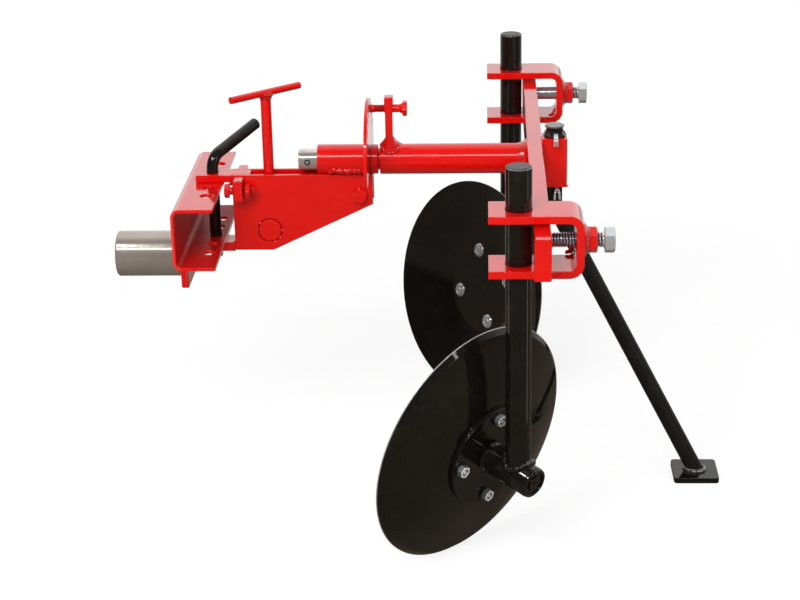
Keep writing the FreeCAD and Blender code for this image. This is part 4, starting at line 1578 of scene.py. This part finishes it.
    def tie_bolt(self) -> bpy.types.Object:
        """The bolt that ties the side plates together.

        Returns:
            The finished piece.
        """
        bolt = span("tie_bolt")
        line = Axis.of((bolt.mid.x, bolt.low.y, bolt.mid.z), (0, 1, 0))
        work = Work("tie_bolt", RED)
        work.hexagon(line, self.tie_flats, 0, self.tie_head, crown=(True, False))
        end = bolt.size.y - self.tie_head
        work.rod(line, self.tie_shank, end - self.tie_head + 1, 0.5, self.tie_head - 0.5)
        work.hexagon(line, self.tie_flats, end, self.tie_head - 2, bore=6.0, crown=(False, True))
        work.rod(line, 6.1, self.tie_head, 1.0, end)
        return work.close(Slot.RED)

    def lug(self, name: str) -> bpy.types.Object:
        """A lug that holds the hinge pin.

        Args:
            name: node of the lug.

        Returns:
            The finished lug.
        """
        lug, hinge, plate = span(name), span("hinge_pin"), span("near_side_plate")
        wide, tongue = lug.size.y / 2, -plate.high.y - 0.3
        shoulder = plate.low.x - 0.3
        outline = [
            (lug.low.x, -wide, 2.0), (shoulder, -wide, 1.0), (shoulder, -tongue, 0.5),
            (lug.high.x, -tongue, 1.0), (lug.high.x, tongue, 1.0), (shoulder, tongue, 0.5),
            (shoulder, wide, 1.0), (lug.low.x, wide, 2.0),
        ]
        work = Work(name, RED)
        work.slab(soft(outline, 1.0, closed=True), lug.size.z, lying(lug.low.z), self.edge,
                  [circle(hinge.low.x + PIN_RADIUS, 0, PIN_RADIUS + 0.35)])
        work.use(RED_WELD)
        z = lug.low.z - 0.2 if name == "top_lug" else lug.high.z
        for side in Side:
            y = side.value * (wide - 4) + side.value * 3.5
            work.bead([Vector((plate.low.x - 1.2, y, level)) for level in (lug.low.z + 1, lug.high.z - 1)],
                      1.9, 61 + side.value)
            work.bead([Vector((plate.low.x - 1.0, side.value * across, z)) for across in (14, 21)],
                      2.2, 66 + side.value)
        return work.close(Slot.RED)

    def set_block(self, side: Side) -> bpy.types.Object:
        """The drilled block that carries a set screw.

        Args:
            side: which block.

        Returns:
            The finished block.
        """
        name = side.word + "_set_block"
        body, screw = span(name), span(side.word + "_set_screw")
        work = Work(name, RED)
        work.slab(block(body.low.y, body.low.z, body.high.y, body.high.z, 2.0), body.size.x,
                  standing(body.low.x), 1.2,
                  [circle(screw.mid.y, screw.mid.z, self.screw_thread / 2 + 0.3, 36)])
        work.use(RED_WELD)
        y = (body.low.y if side is Side.FAR else body.high.y) + side.value * 1.0
        work.bead([Vector((body.high.x + 0.6, y, level)) for level in (body.low.z + 2, body.high.z - 3)],
                  2.6, 71 + side.value)
        return work.close(Slot.RED)

    def set_screw(self, side: Side) -> bpy.types.Object:
        """A set screw with its head at the channel and its lock nut.

        Args:
            side: which screw.

        Returns:
            The finished screw.
        """
        name = side.word + "_set_screw"
        screw, body = span(name), span(side.word + "_set_block")
        line, radius = screw.line(), self.screw_thread / 2
        nut = body.high.x + 4 - screw.low.x
        work = Work(name, RED)
        work.hexagon(line, self.screw_flats, 0, self.screw_head, crown=(True, False))
        work.rod(line, radius - 0.4, 6, 0.5, self.screw_head - 1, steps=36)
        work.thread(line, self.screw_thread, self.screw_head + 4, screw.size.x - 2, 2.0)
        work.rod(line, radius - 1.2, 4, 1.0, screw.size.x - 4, steps=36)
        work.hexagon(line.turned(20), self.screw_flats + 2, nut, self.screw_head, bore=radius - 0.8)
        return work.close(Slot.RED)


@dataclass
class HingePin:
    """The black hinge pin, bent over to a handle that rises a little."""

    bend: float = 26.0
    corner: float = 4.0
    turn: float = 57.0
    rise: float = 15.0
    handle: float = 124.0
    chamfer: float = 1.6

    def build(self) -> list[bpy.types.Object]:
        """Make the pin.

        Returns:
            The pin alone.
        """
        pin = span("hinge_pin")
        foot = Vector((pin.low.x + PIN_RADIUS, 0, pin.low.z))
        corner = Vector((foot.x, 0, span("pivot_shaft").mid.z + self.corner))
        turn, rise = math.radians(self.turn), math.radians(self.rise)
        out = Vector((math.cos(turn) * math.cos(rise), math.sin(turn) * math.cos(rise), math.sin(rise)))
        path = rounded_path([foot, corner, corner + out * self.handle], self.bend, 20)
        work = Work("hinge_pin", BLACK)
        work.tube(path, PIN_RADIUS, sides=48, tip=self.chamfer)
        return [work.close(Slot.BLACK)]


@dataclass
class OffsetHitch:
    """Drilled channel, its front plate and the coupling spigot."""

    wall: float = 6.0
    bend: float = 8.0
    corner: float = 1.0
    edge: float = 0.8
    hole: float = 10.5
    hole_step: float = 45.0
    spigot_wall: float = 4.0
    spigot_end: float = 6.0

    def build(self) -> list[bpy.types.Object]:
        """Make the channel, the plate and the spigot."""
        return [self.channel(), self.plate(), self.spigot()]

    def channel(self) -> bpy.types.Object:
        """The folded channel with its two rows of holes.

        Returns:
            The finished piece.
        """
        body, hinge = span("offset_channel"), span("hinge_pin")
        flange = body.size.x - self.wall - self.bend
        web = body.size.z - 2 * (self.wall + self.bend)
        fold = Fold((body.high.x, body.high.z - self.wall), 180.0, (flange, web, flange), self.bend)
        outline, place = fold.sheet(body.size.y / 2, body.mid.y, self.corner)
        reach = body.high.x - (hinge.low.x + PIN_RADIUS)
        holes = []
        for step in range(-2, 3):
            radius = PIN_RADIUS + 0.3 if step == 0 else self.hole
            holes.append(circle(reach, step * self.hole_step, radius))
            holes.append(circle(fold.length - reach, step * self.hole_step, radius))
        work = Work("offset_channel", RED)
        # The inner faces take the darker red of painted shade.
        work.slab(outline, self.wall, place, self.edge, holes, fold.stations(), RED_PAINTED_SHADE)
        return work.close(Slot.RED)

    def plate(self) -> bpy.types.Object:
        """The plate that joins the spigot to the channel.

        Returns:
            The finished piece.
        """
        plate, channel = span("spigot_plate"), span("offset_channel")
        half = plate.size.y / 2
        top = channel.low.z - 0.6
        work = Work("spigot_plate", RED)
        work.slab(soft([(-half, plate.low.z, 9), (half, plate.low.z, 9), (half, top, 1), (-half, top, 1)], 1,
                       closed=True), plate.size.x, standing(plate.low.x), 1.6)
        lip = channel.low.x - plate.low.x - 0.1
        work.slab(block(-half, top - 6, half, plate.high.z, 3), lip, standing(plate.low.x), 0.9)
        work.use(RED_WELD)
        x = plate.high.x + 0.5
        work.bead([Vector((x, 3 - half, top)), Vector((x, half - 3, top))], 3.0, 81)
        for side in Side:
            y = side.value * (half - 1)
            work.bead([Vector((channel.low.x + 1.0, y, top - 3)), Vector((channel.low.x - 1.5, y, top + 5)),
                       Vector((channel.low.x - 1.5, y, plate.high.z - 4))], 2.2, 84 + side.value)
        return work.close(Slot.RED)

    def spigot(self) -> bpy.types.Object:
        """The turned spigot, painted at its mouth and its weld.

        Returns:
            The finished piece.
        """
        spigot = span("coupling_spigot")
        line, radius, long = spigot.line(), spigot.size.z / 2, spigot.size.x
        inner, floor = radius - self.spigot_wall, long - self.spigot_end
        work = Work("coupling_spigot", STEEL)
        work.lathe(line, soft([(radius - 1.1, 1.1), (radius, 2.4, 0.8), (radius, long), (0, long)], 0.8),
                   steps=128)
        work.use(RED)
        work.lathe(line, soft([(radius - 1.1, 1.1), (radius - 2.2, 0, 0.8), (inner, 0, 1.0),
                               (inner, floor, 2.0), (0, floor)], 0.6), steps=128)
        work.use(RED_WELD)
        work.collar(spigot.line(-1), 6.0, 6.0, radius, 91, steps=128)
        return work.close(Slot.STEEL)


# ---------------------------------------------------------------- discs
@dataclass
class DiscArm:
    """One post with its bearing tube, and the disc wheel that turns in it."""

    side: Side
    yaw: float
    tilt: float = 10.8
    clock: float = 0.0
    bearing: float = 25.0
    bearing_in: float = 49.4
    bearing_out: float = 31.0
    bore: float = 12.6
    cap: float = 5.0
    post_edge: float = 2.6
    disc_set: float = 66.0
    disc_radius: float = 203.2
    disc_thick: float = 5.0
    disc_ball: float = 500.0
    disc_flat: float = 88.0
    disc_bevel: float = 9.0
    flange: float = 84.0
    flange_thick: float = 8.0
    neck: float = 8.0
    bolt_circle: float = 69.5
    bolt: float = 12.0
    nut_flats: float = 18.0
    nut_high: float = 9.0
    washer: float = 12.6
    washer_thick: float = 1.6
    dome: float = 13.4
    line: Axis = field(init=False)

    def __post_init__(self) -> None:
        """Set the disc axis from the post and the two angles."""
        post, cap = span(self.side.word + "_post"), span(self.side.word + "_bearing_cap")
        yaw, tilt, sign = math.radians(self.yaw), math.radians(self.tilt), self.side.value
        out = Vector((math.sin(yaw) * math.cos(tilt), sign * math.cos(yaw) * math.cos(tilt), -math.sin(tilt)))
        middle = cap.mid - out * (self.bearing_out + self.cap / 2)
        hub = Vector((post.mid.x, post.mid.y, middle.z))
        self.line = Axis.of(hub, out)

    def build(self) -> list[bpy.types.Object]:
        """Make the post, the bearing, the flange, the disc and its bolts."""
        return [self.post(), self.bearing_tube(), self.end_cap(), self.wheel_flange(), self.disc(),
                self.fasteners()]

    def saddle(self, angle: float, radius: float, shell: float) -> float:
        """Height where a post line meets the bearing tube.

        Args:
            angle: direction round the post.
            radius: distance from the post axis.
            shell: radius of the bearing tube's skin.

        Returns:
            Height in millimetres.
        """
        off = Vector((math.cos(angle) * radius, math.sin(angle) * radius, 0))
        out = self.line.along
        a = 1 - out.z ** 2
        b = -2 * out.z * off.dot(out)
        c = off.dot(off) - off.dot(out) ** 2 - shell ** 2
        return self.line.origin.z + (-b + math.sqrt(max(0.0, b * b - 4 * a * c))) / (2 * a)

    def post(self) -> bpy.types.Object:
        """The round post with its saddle weld.

        Returns:
            The finished piece.
        """
        word = self.side.word
        post = span(word + "_post")
        radius, centre, top = post.size.x / 2, post.mid, post.high.z

        def hoop(size: float, height: Callable[[float], float]) -> list[Vector]:
            """Points round the post at a radius, each at its own height."""
            return [Vector((centre.x + size * math.cos(a), centre.y + size * math.sin(a), height(a)))
                    for a in turns(80)]

        work = Work(word + "_post", BLACK)
        rings = [work.ring(hoop(radius, lambda a: self.saddle(a, radius, self.bearing - 1.5)))]
        for size, height in ((radius, top - self.post_edge), (radius - self.post_edge * 0.3, top - 1.1),
                             (radius - self.post_edge, top), (radius - self.post_edge - 0.8, top)):
            rings.append(work.ring(hoop(size, lambda a: height)))
        work.skin(rings[:2])
        # The chamfer is bare steel, partly wear and partly a painted highlight on the rim.
        work.use(BURR_AND_PAINTED_HIGHLIGHT)
        work.skin(rings[1:3])
        # The top face is lighter grey, partly wear and partly painted light from above.
        work.use(TOP_WEAR_AND_PAINTED_LIGHT)
        work.skin(rings[2:])
        work.face(rings[-1])
        work.use(BLACK_WELD)
        path = hoop(radius + 1.2, lambda a: self.saddle(a, radius + 1.2, self.bearing + 0.6) + 0.8)
        work.bead(path, 6.2, 101 + self.side.value, closed=True, scale=4.8)
        strap = span(word + "_clamp_strap")
        # A band of real wear just above the strap.
        work.use(WEAR_AND_PAINTED_SHADE)
        low, high = radius + 0.02, radius + 0.5
        worn = soft([(low, 0), (high, 0), (high, 1.6), (low, 2.4)], 0.2, closed=True)
        work.lathe(upright(centre.x, centre.y, strap.high.z + 0.4), worn, closed=True, steps=80,
                   ripple=lambda r, a, h: 0.35 * noise(Vector((math.cos(a) * 3, math.sin(a) * 3, h))))
        return work.close(Slot.BLACK)

    def bearing_tube(self) -> bpy.types.Object:
        """The bearing tube under the post.

        Returns:
            The finished piece.
        """
        work = Work(self.side.word + "_bearing_tube", BLACK)
        start = self.line.moved(-self.bearing_in)
        long = self.bearing_in + self.bearing_out
        work.pipe(start, self.bearing, self.bore, long, 1.4)
        return work.close(Slot.BLACK)

    def end_cap(self) -> bpy.types.Object:
        """The pressed cap with its rings.

        Returns:
            The finished piece.
        """
        work = Work(self.side.word + "_bearing_cap", BLACK)
        start = self.line.moved(self.bearing_out)
        out = self.bearing - 1
        profile = soft([
            (0, 0), (out, 0), (out, 3.4), (out - 2.4, 5.0), (out - 5.2, 5.0), (out - 6.4, 1.4),
            (out - 11.0, 1.0), (out - 12.2, 4.2), (out - 14.6, 4.8), (4.4, 4.8), (3.4, 2.2), (0, 2.0),
        ], 0.6, steps=3)
        work.lathe(start, profile, steps=80)
        return work.close(Slot.BLACK)

    def wheel_flange(self) -> bpy.types.Object:
        """The flange, its neck and its spindle.

        Returns:
            The finished piece.
        """
        work = Work(self.side.word + "_disc_flange", BLACK)
        seat = -self.disc_set
        face, neck_end = seat + self.flange_thick, seat + self.flange_thick + self.neck
        far = self.bearing_out - 1
        neck = self.bearing - 4
        profile = soft([
            (0, seat), (self.flange, seat, 0.8), (self.flange, face, 1.4), (neck + 4, face, 3.5),
            (neck, face + 3.5, 1.0), (neck, neck_end, 0.6), (self.bore - 0.1, neck_end, 0.4),
            (self.bore - 0.1, far), (0, far),
        ], 0.4, steps=4)
        work.lathe(self.line, profile, steps=112)
        work.lathe(self.line.moved(neck_end - 3.4),
                   soft([(neck - 0.2, 0), (neck + 1.0, 0), (neck + 1.0, 2.4), (neck - 0.2, 2.4)], 0.4,
                        closed=True), closed=True, steps=80)
        return work.close(Slot.BLACK)

    def disc(self) -> bpy.types.Object:
        """The dished disc with a painted highlight round its rim.

        Returns:
            The finished piece.
        """
        seat, ball = -self.disc_set, self.disc_ball
        level = math.sqrt(ball ** 2 - self.disc_flat ** 2)

        def dish(radius: float) -> float:
            """How far the dish has curved away at a radius."""
            return 0.0 if radius <= self.disc_flat else level - math.sqrt(ball ** 2 - radius ** 2)

        rim, start = self.disc_radius, self.disc_radius - self.disc_bevel
        convex = [(0.0, 0.0), (2.2, 0.0), (3.0, -0.6), (4.0, 0.0), (40.0, 0.0), (80.0, 0.0)]
        convex += [(r, -dish(r)) for r in (88, 91, 95, 100, 108, 118, 130, 142, 154, 166, 178, 186)]
        edge = -dish(rim) - self.disc_thick
        convex += [(start, -dish(start)), (start + 0.8, -dish(start) - 0.5), (rim - 0.9, edge + 1.7)]
        concave = [(r, -dish(r) - self.disc_thick)
                   for r in (200, 190, 178, 166, 154, 142, 130, 118, 108, 100, 95, 91, 88)]
        concave += [(r, -self.disc_thick) for r in (80, 40)]
        concave += [(4.6, -self.disc_thick), (3.4, -self.disc_thick + 1.2), (0.0, -self.disc_thick + 1.6)]
        work = Work(self.side.word + "_disc", BLACK, crease=28.0)
        line = self.line.moved(seat)
        work.lathe(line, convex, steps=192)
        # The pale rim band is a painted highlight.
        work.use(RIM_PAINTED_HIGHLIGHT)
        work.lathe(line, [(rim - 0.9, edge + 1.7), (rim, edge + 1.0), (rim, edge + 0.3), (rim - 0.5, edge)],
                   steps=192)
        work.use(BLACK)
        work.lathe(line, [(rim - 0.5, edge), *concave], steps=192)
        return work.close(Slot.BLACK)

    def fasteners(self) -> bpy.types.Object:
        """Four round-headed bolts, their nuts, and washers kept black as painted shade under the nuts.

        Returns:
            The finished piece.
        """
        word = self.side.word
        work = Work(word + "_disc_bolts", BLACK)
        seat, face, back_face = -self.disc_set, self.flange_thick, self.disc_thick
        shelf, hole, core = face + self.washer_thick, self.bolt / 2, self.bolt / 2 - 2.9
        top = shelf + self.nut_high
        for number in range(4):
            angle = math.radians(self.clock + 90 * number)
            place = self.line.at(self.bolt_circle, angle, seat)
            out = Axis.of(place, self.line.along, self.line.at(1, angle + 0.5, 0) - self.line.origin)
            nut = out.turned(13 * number)
            # The washer is black as painted shade under the nut.
            work.use(BLACK)
            work.lathe(out, soft([(0, face), (self.washer, face), (self.washer, shelf), (0, shelf)], 0.5),
                       steps=40)
            # Nut flats in painted shade; the top face and the bolt end below it in painted highlight.
            work.use(NUT_PAINTED_SHADE)
            work.hexagon(nut, self.nut_flats, shelf, self.nut_high - 0.4, bore=hole - 0.2)
            work.use(NUT_FACE_PAINTED_HIGHLIGHT)
            work.hexagon(nut, self.nut_flats - 1.2, top - 0.6, 1.2, bore=hole, crown=(False, False))
            work.lathe(out, soft([(0, face + 1), (core, face + 1), (core, top + 0.1, 0.8), (0, top + 0.3)],
                                 0.3), steps=32)
            # The dark ring between the nut face and the bolt end is painted shade.
            work.use(ROOT_PAINTED_SHADE)
            work.lathe(out, soft([(core - 0.2, top - 2.0), (hole + 0.2, top - 2.0), (hole + 0.2, top - 1.1),
                                  (core - 0.2, top - 1.2)], 0.05, closed=True), closed=True, steps=40)
            work.use(DOME)
            head = [(0, -0.2), (self.dome, -0.2), (self.dome, 1.0, 0.6), (self.dome - 2.2, 3.2), (8.2, 4.6),
                    (6.6, 2.8), (4.8, 4.4), (0, 5.4)]
            back = Axis.of(place, -self.line.along, out.clock).moved(back_face)
            work.lathe(back, soft(head, 0.6), steps=56)
        return work.close(Slot.ZINC, body=word + "_disc_wheel")


# ---------------------------------------------------------------- stand
@dataclass
class ParkingStand:
    """Square socket, bent leg, foot plate and split pins."""

    corner: float = 3.0
    leg_radius: float = 14.0
    drop: float = 36.0
    knee: float = 30.0
    weld: float = 4.6
    wire: float = 1.9
    cap_sunk: float = 4.6

    def build(self) -> list[bpy.types.Object]:
        """Make the socket, the leg, the foot and the pins."""
        return [self.socket(), self.leg(), self.foot(), self.ring(), self.pins()]

    def socket(self) -> bpy.types.Object:
        """The square socket welded to the back of the toolbar.

        Returns:
            The finished piece.
        """
        socket = span("stand_socket")
        half = socket.size.x / 2
        work = Work("stand_socket", RED)
        work.slab(block(-half, -half, half, half, self.corner), socket.size.z,
                  lambda u, v, w: Vector((socket.mid.x + u, socket.mid.y + v, socket.low.z + w)), 1.0,
                  [circle(0, 0, self.leg_radius + 0.2)])
        work.use(RED_WELD)
        for side in Side:
            work.bead([Vector((socket.low.x + 1.2, side.value * (half + 0.4), level))
                       for level in (socket.high.z - 8, socket.mid.z + 8, socket.low.z + 18)],
                      3.0, 111 + side.value)
        burr = Vector((socket.high.x - 1, socket.low.y + 2, socket.low.z + 1))
        work.bead([burr + Vector((-5, 0, -0.4)), burr, burr + Vector((3.6, 0, 2.2))], 1.4, 117, scale=2.4)
        return work.close(Slot.RED)

    def leg(self) -> bpy.types.Object:
        """The bent leg with its level foot end.

        Returns:
            The finished piece.
        """
        leg, foot, socket = span("stand_leg"), span("stand_foot"), span("stand_socket")
        radius, x = self.leg_radius, socket.mid.x
        bend = Vector((x, 0, socket.low.z - self.drop))
        end = Vector((foot.mid.x, foot.mid.y, foot.high.z))
        path = rounded_path([Vector((x, 0, leg.high.z - self.cap_sunk)), bend, end], self.knee, 14)
        work = Work("stand_leg", SATIN)
        work.tube(path, radius, sides=56, tip=2.0, floor=foot.high.z + 0.1)
        work.use(BURR_AND_PAINTED_HIGHLIGHT)
        top = upright(x, 0, leg.high.z - self.cap_sunk)
        work.lathe(top, soft([(0, -3.4), (radius + 1.7, -3.4), (radius + 1.9, 0.2), (0, 0.6)], 1.0), steps=90,
                   ripple=lambda r, a, h: 0.0 if r < radius else 0.7 * math.sin(11 * a) * math.sin(3 * a + 1))
        work.use(BARE_WELD)
        slope = (end - bend).normalized()
        lead = Vector((slope.x, slope.y, 0)).normalized()
        off = Vector((-lead.y, lead.x, 0))
        rim = []
        for angle in turns(40):
            flat = lead * (math.cos(angle) * radius / abs(slope.z)) + off * (math.sin(angle) * radius)
            rim.append(end + flat * 1.06 + Vector((0, 0, 0.6)))
        work.bead(rim, self.weld, 121, closed=True, scale=5.0)
        work.bead([p + Vector((-0.8, 0, 2.6)) for p in rim[8:34]], self.weld * 0.7, 123, scale=4.0)
        return work.close(Slot.BLACK)

    def foot(self) -> bpy.types.Object:
        """The foot plate.

        Returns:
            The finished piece.
        """
        foot = span("stand_foot")
        work = Work("stand_foot", BLACK)
        work.slab(block(foot.low.x, foot.low.y, foot.high.x, foot.high.y, 7.0), foot.size.z,
                  lying(foot.low.z), 1.3)
        return work.close(Slot.BLACK)

    def ring(self) -> bpy.types.Object:
        """The rough collar that rests on the socket.

        Returns:
            The finished piece.
        """
        ring = span("stand_ring")
        work = Work("stand_collar", BLACK_WELD)
        outer, bore, long = ring.size.x / 2 - 1.4, self.leg_radius + 0.1, ring.size.z

        def lumps(radius: float, angle: float, reach: float) -> float:
            """Scallops of the collar's rim."""
            rough = 0.5 * noise(Vector((3 * angle, reach / 2, 7)))
            return 0.8 * math.sin(9 * angle + reach / 3) + rough if radius >= outer - 3 else 0.0

        profile = soft([(bore, 0), (outer, 0), (outer, long * 0.42), (outer - 2.2, long * 0.55),
                        (outer - 1.6, long), (bore, long)], 1.3, closed=True)
        work.lathe(upright(ring.mid.x, ring.mid.y, ring.low.z), profile, closed=True, steps=90, ripple=lumps)
        return work.close(Slot.BLACK, "stand_ring")

    def pins(self) -> bpy.types.Object:
        """Split pins through the leg above and below the socket.

        Returns:
            The finished piece.
        """
        socket, ring = span("stand_socket"), span("stand_ring")
        work = Work("stand_split_pins", ZINC)
        half = socket.size.y / 2
        upper = (ring.high.z - 2.2, 16.0, 1.5, half + 12.5, 2.5)
        lower = (socket.low.z - 4.0, 17.0, 4.5, half + 2.4, 4.4)
        for height, drop, aside, out, spread in (upper, lower):
            x = socket.mid.x + aside
            eye = Vector((x, half + 0.5, height))
            hoop = [eye + Vector((4.2 * math.sin(t), 4.6 - 4.6 * math.cos(t), 0)) for t in turns(24)]
            work.tube(hoop, self.wire, sides=12, closed=True)
            for sign in (-1, 1):
                lead = Vector((sign * self.wire * 0.8, 0, 0))
                path = rounded_path([
                    eye + lead, Vector((x, 2.5 - half, height)) + lead,
                    Vector((x + sign * spread * 0.8, -out, height - drop * 0.35)),
                    Vector((x + sign * spread, -out - 0.5, height - drop)),
                ], 5.0, 8)
                work.tube(path, self.wire, sides=14, tip=0.5)
        return work.close(Slot.ZINC, body="stand")


# ---------------------------------------------------------------- studio
@dataclass
class Studio:
    """Floor, lamps, surroundings and camera."""

    place: Colour = (0.1144, -3.1278, 1.5144)
    yaw: float = -0.0473
    pitch: float = 0.3677
    roll: float = 0.0211
    lens: float = 86.985
    ambient: float = 0.37
    key: float = 130.0
    fill: float = 22.0
    strip: float = 48.0
    line: float = 2.6
    sparkle: float = 24.0
    brown: Colour = (0.212, 0.174, 0.138)
    pale: Colour = (0.95, 0.93, 0.90)

    def build(self) -> None:
        """Set the scene."""
        self.floor()
        self.card()
        self.world()
        self.lamps()
        self.camera()
        bpy.context.scene.view_settings.view_transform = "Standard"

    def sheet(self, name: str, half: float, height: float) -> bpy.types.Object:
        """A level square of ground.

        Args:
            name: its name.
            half: half its edge, in metres.
            height: its height, in metres.

        Returns:
            The square.
        """
        mesh = bpy.data.meshes.new(name)
        corners = ((-half, -half), (half, -half), (half, half), (-half, half))
        mesh.from_pydata([(*corner, height) for corner in corners], [], [(0, 1, 2, 3)])
        ground = bpy.data.objects.new(name, mesh)
        bpy.context.scene.collection.objects.link(ground)
        return ground

    def floor(self) -> None:
        """A pale floor that keeps the machine's shadow."""
        ground = self.sheet("floor", 30.0, 0.0)
        wires = Wiring(bpy.data.materials.new("pale_floor"))
        plain = wires.add("ShaderNodeBsdfDiffuse", Color=(0.60, 0.59, 0.58, 1), Roughness=0.5)
        far = wires.add("ShaderNodeVectorMath", operation="LENGTH", Vector=wires.where).outputs["Value"]
        lit = wires.add("ShaderNodeEmission", Color=(1, 1, 1, 1),
                        Strength=wires.between(far, 0.80, 1.0, 1.2, 4.0))
        shaded = wires.add("ShaderNodeBsdfDiffuse", Color=(0.28, 0.28, 0.28, 1))
        both = wires.add("ShaderNodeAddShader")
        wires.link(lit.outputs[0], both.inputs[0])
        wires.link(shaded.outputs[0], both.inputs[1])
        wires.surface(wires.either(wires.seen(), plain, both))
        ground.data.materials.append(wires.home)

    def card(self) -> None:
        """A brown card under the machine that only gloss picks up."""
        card = self.sheet("brown_card", 29.0, 0.0012)
        wires = Wiring(bpy.data.materials.new("brown_card"))
        split = wires.add("ShaderNodeSeparateXYZ", Vector=wires.where)
        behind = wires.between(split.outputs["Y"], 0.0, 1.0, 0.85, 1.8)
        shade = wires.blend(behind, self.brown, self.pale)
        wires.surface(wires.add("ShaderNodeBsdfDiffuse", Color=shade, Roughness=0.6).outputs[0])
        card.data.materials.append(wires.home)
        card.visible_camera = card.visible_diffuse = False
        card.visible_transmission = card.visible_shadow = False

    def world(self) -> None:
        """White all round for the eye, dimmer in front for gloss, and an even fill."""
        world = bpy.data.worlds.new("studio")
        bpy.context.scene.world = world
        wires = Wiring(world)
        even = wires.add("ShaderNodeBackground", Color=(1, 1, 1, 1), Strength=self.ambient)
        split = wires.add("ShaderNodeSeparateXYZ", Vector=wires.where)
        back = wires.between(split.outputs["Y"], 0.12, 1.0, -0.2, 0.45, "SMOOTHSTEP")
        right = wires.between(split.outputs["X"], 0.14, 1.0, -0.95, -0.45)
        eye = wires.add("ShaderNodeLightPath").outputs["Is Camera Ray"]
        pick = wires.add("ShaderNodeMix", data_type="FLOAT", Factor=eye, A=wires.sum("MULTIPLY", back, right),
                         B=1.0)
        white = wires.add("ShaderNodeBackground", Color=pick.outputs[0], Strength=1.0)
        wires.surface(wires.either(wires.seen(), even, white))

    def lamp(self, name: str, spot: Colour, aim: Colour, size: Flat, watts: float, gloss: bool,
             matt: bool = True) -> None:
        """A soft rectangular lamp.

        Args:
            name: its name.
            spot: where it stands, in metres.
            aim: what it points at.
            size: its width and height.
            watts: its power.
            gloss: whether gloss picks it up.
            matt: whether it lights matt surfaces.
        """
        light = bpy.data.lights.new(name, "AREA")
        light.shape = "RECTANGLE"
        light.size, light.size_y = size
        light.energy = watts
        lamp = bpy.data.objects.new(name, light)
        lamp.location = spot
        lamp.rotation_mode = "QUATERNION"
        lamp.rotation_quaternion = (Vector(aim) - Vector(spot)).to_track_quat("-Z", "Y")
        bpy.context.scene.collection.objects.link(lamp)
        lamp.visible_glossy = gloss
        lamp.visible_diffuse = matt
        lamp.visible_camera = False

    def lamps(self) -> None:
        """Key, fill and the long strip that draws the bright line on round tubes."""
        self.lamp("key", (-1.4, -3.4, 3.4), (0, 0, 0.4), (2.6, 2.6), self.key, False)
        self.lamp("fill", (3.0, -2.6, 2.0), (0, 0, 0.4), (2.2, 2.2), self.fill, False)
        self.lamp("strip", (-0.4, -3.3, 3.3), (-0.2, 0, 0.55), (4.2, 0.22), self.strip, True)
        self.lamp("side_strip", (3.4, -2.2, 1.6), (0, 0, 0.4), (0.16, 1.8), self.strip * 0.12, True)
        post = span("near_post").mid * MM
        hub = Vector((post.x, post.y, 0.18))
        self.gleam("sparkle", hub + Vector((-1.02, -0.21, 1.20)), hub, (0.24, 0.24), self.sparkle)
        for name, reach, back in (("left_line", -0.60, 0.04), ("right_line", 0.60, -0.09)):
            self.gleam(name, (post.x + reach, post.y + back, 0.45), (post.x, post.y, 0.45), (0.04, 1.3),
                       self.line)

    def gleam(self, name: str, spot: Colour, aim: Colour, size: Flat, bright: float) -> None:
        """A small lamp that only gloss picks up.

        Args:
            name: its name.
            spot: where it stands, in metres.
            aim: what it points at.
            size: its width and height.
            bright: how bright its face is.
        """
        self.lamp(name, spot, aim, size, bright * math.pi * size[0] * size[1], True, False)

    def camera(self) -> None:
        """The camera at the front quarter of the near side."""
        lens = bpy.data.cameras.new("camera")
        lens.lens, lens.sensor_width = self.lens, 36.0
        lens.clip_start, lens.clip_end = 0.05, 100.0
        sight = Vector((math.sin(self.yaw) * math.cos(self.pitch), math.cos(self.yaw) * math.cos(self.pitch),
                        -math.sin(self.pitch)))
        level = Vector((math.cos(self.yaw), -math.sin(self.yaw), 0))
        down = sight.cross(level)
        right = level * math.cos(self.roll) + down * math.sin(self.roll)
        below = down * math.cos(self.roll) - level * math.sin(self.roll)
        turn = Matrix((right, -below, -sight)).transposed()
        camera = bpy.data.objects.new("camera", lens)
        camera.matrix_world = Matrix.Translation(Vector(self.place)) @ turn.to_4x4()
        bpy.context.scene.collection.objects.link(camera)
        bpy.context.scene.camera = camera


def main() -> None:
    """Build every sub-assembly in order and report each piece."""
    builders = (
        Toolbar(), PivotTube(), PostClamp(Side.NEAR), PostClamp(Side.FAR), HitchBlock(), HingePin(),
        OffsetHitch(), DiscArm(Side.NEAR, yaw=46.7, clock=-1.0), DiscArm(Side.FAR, yaw=50.0, clock=-22.0),
        ParkingStand(),
    )
    for builder in builders:
        for piece in builder.build():
            LOG.info("%s: %s, %d faces", type(builder).__name__, piece.name, len(piece.data.polygons))
    Studio().build()


if __name__ == "__main__":
    main()
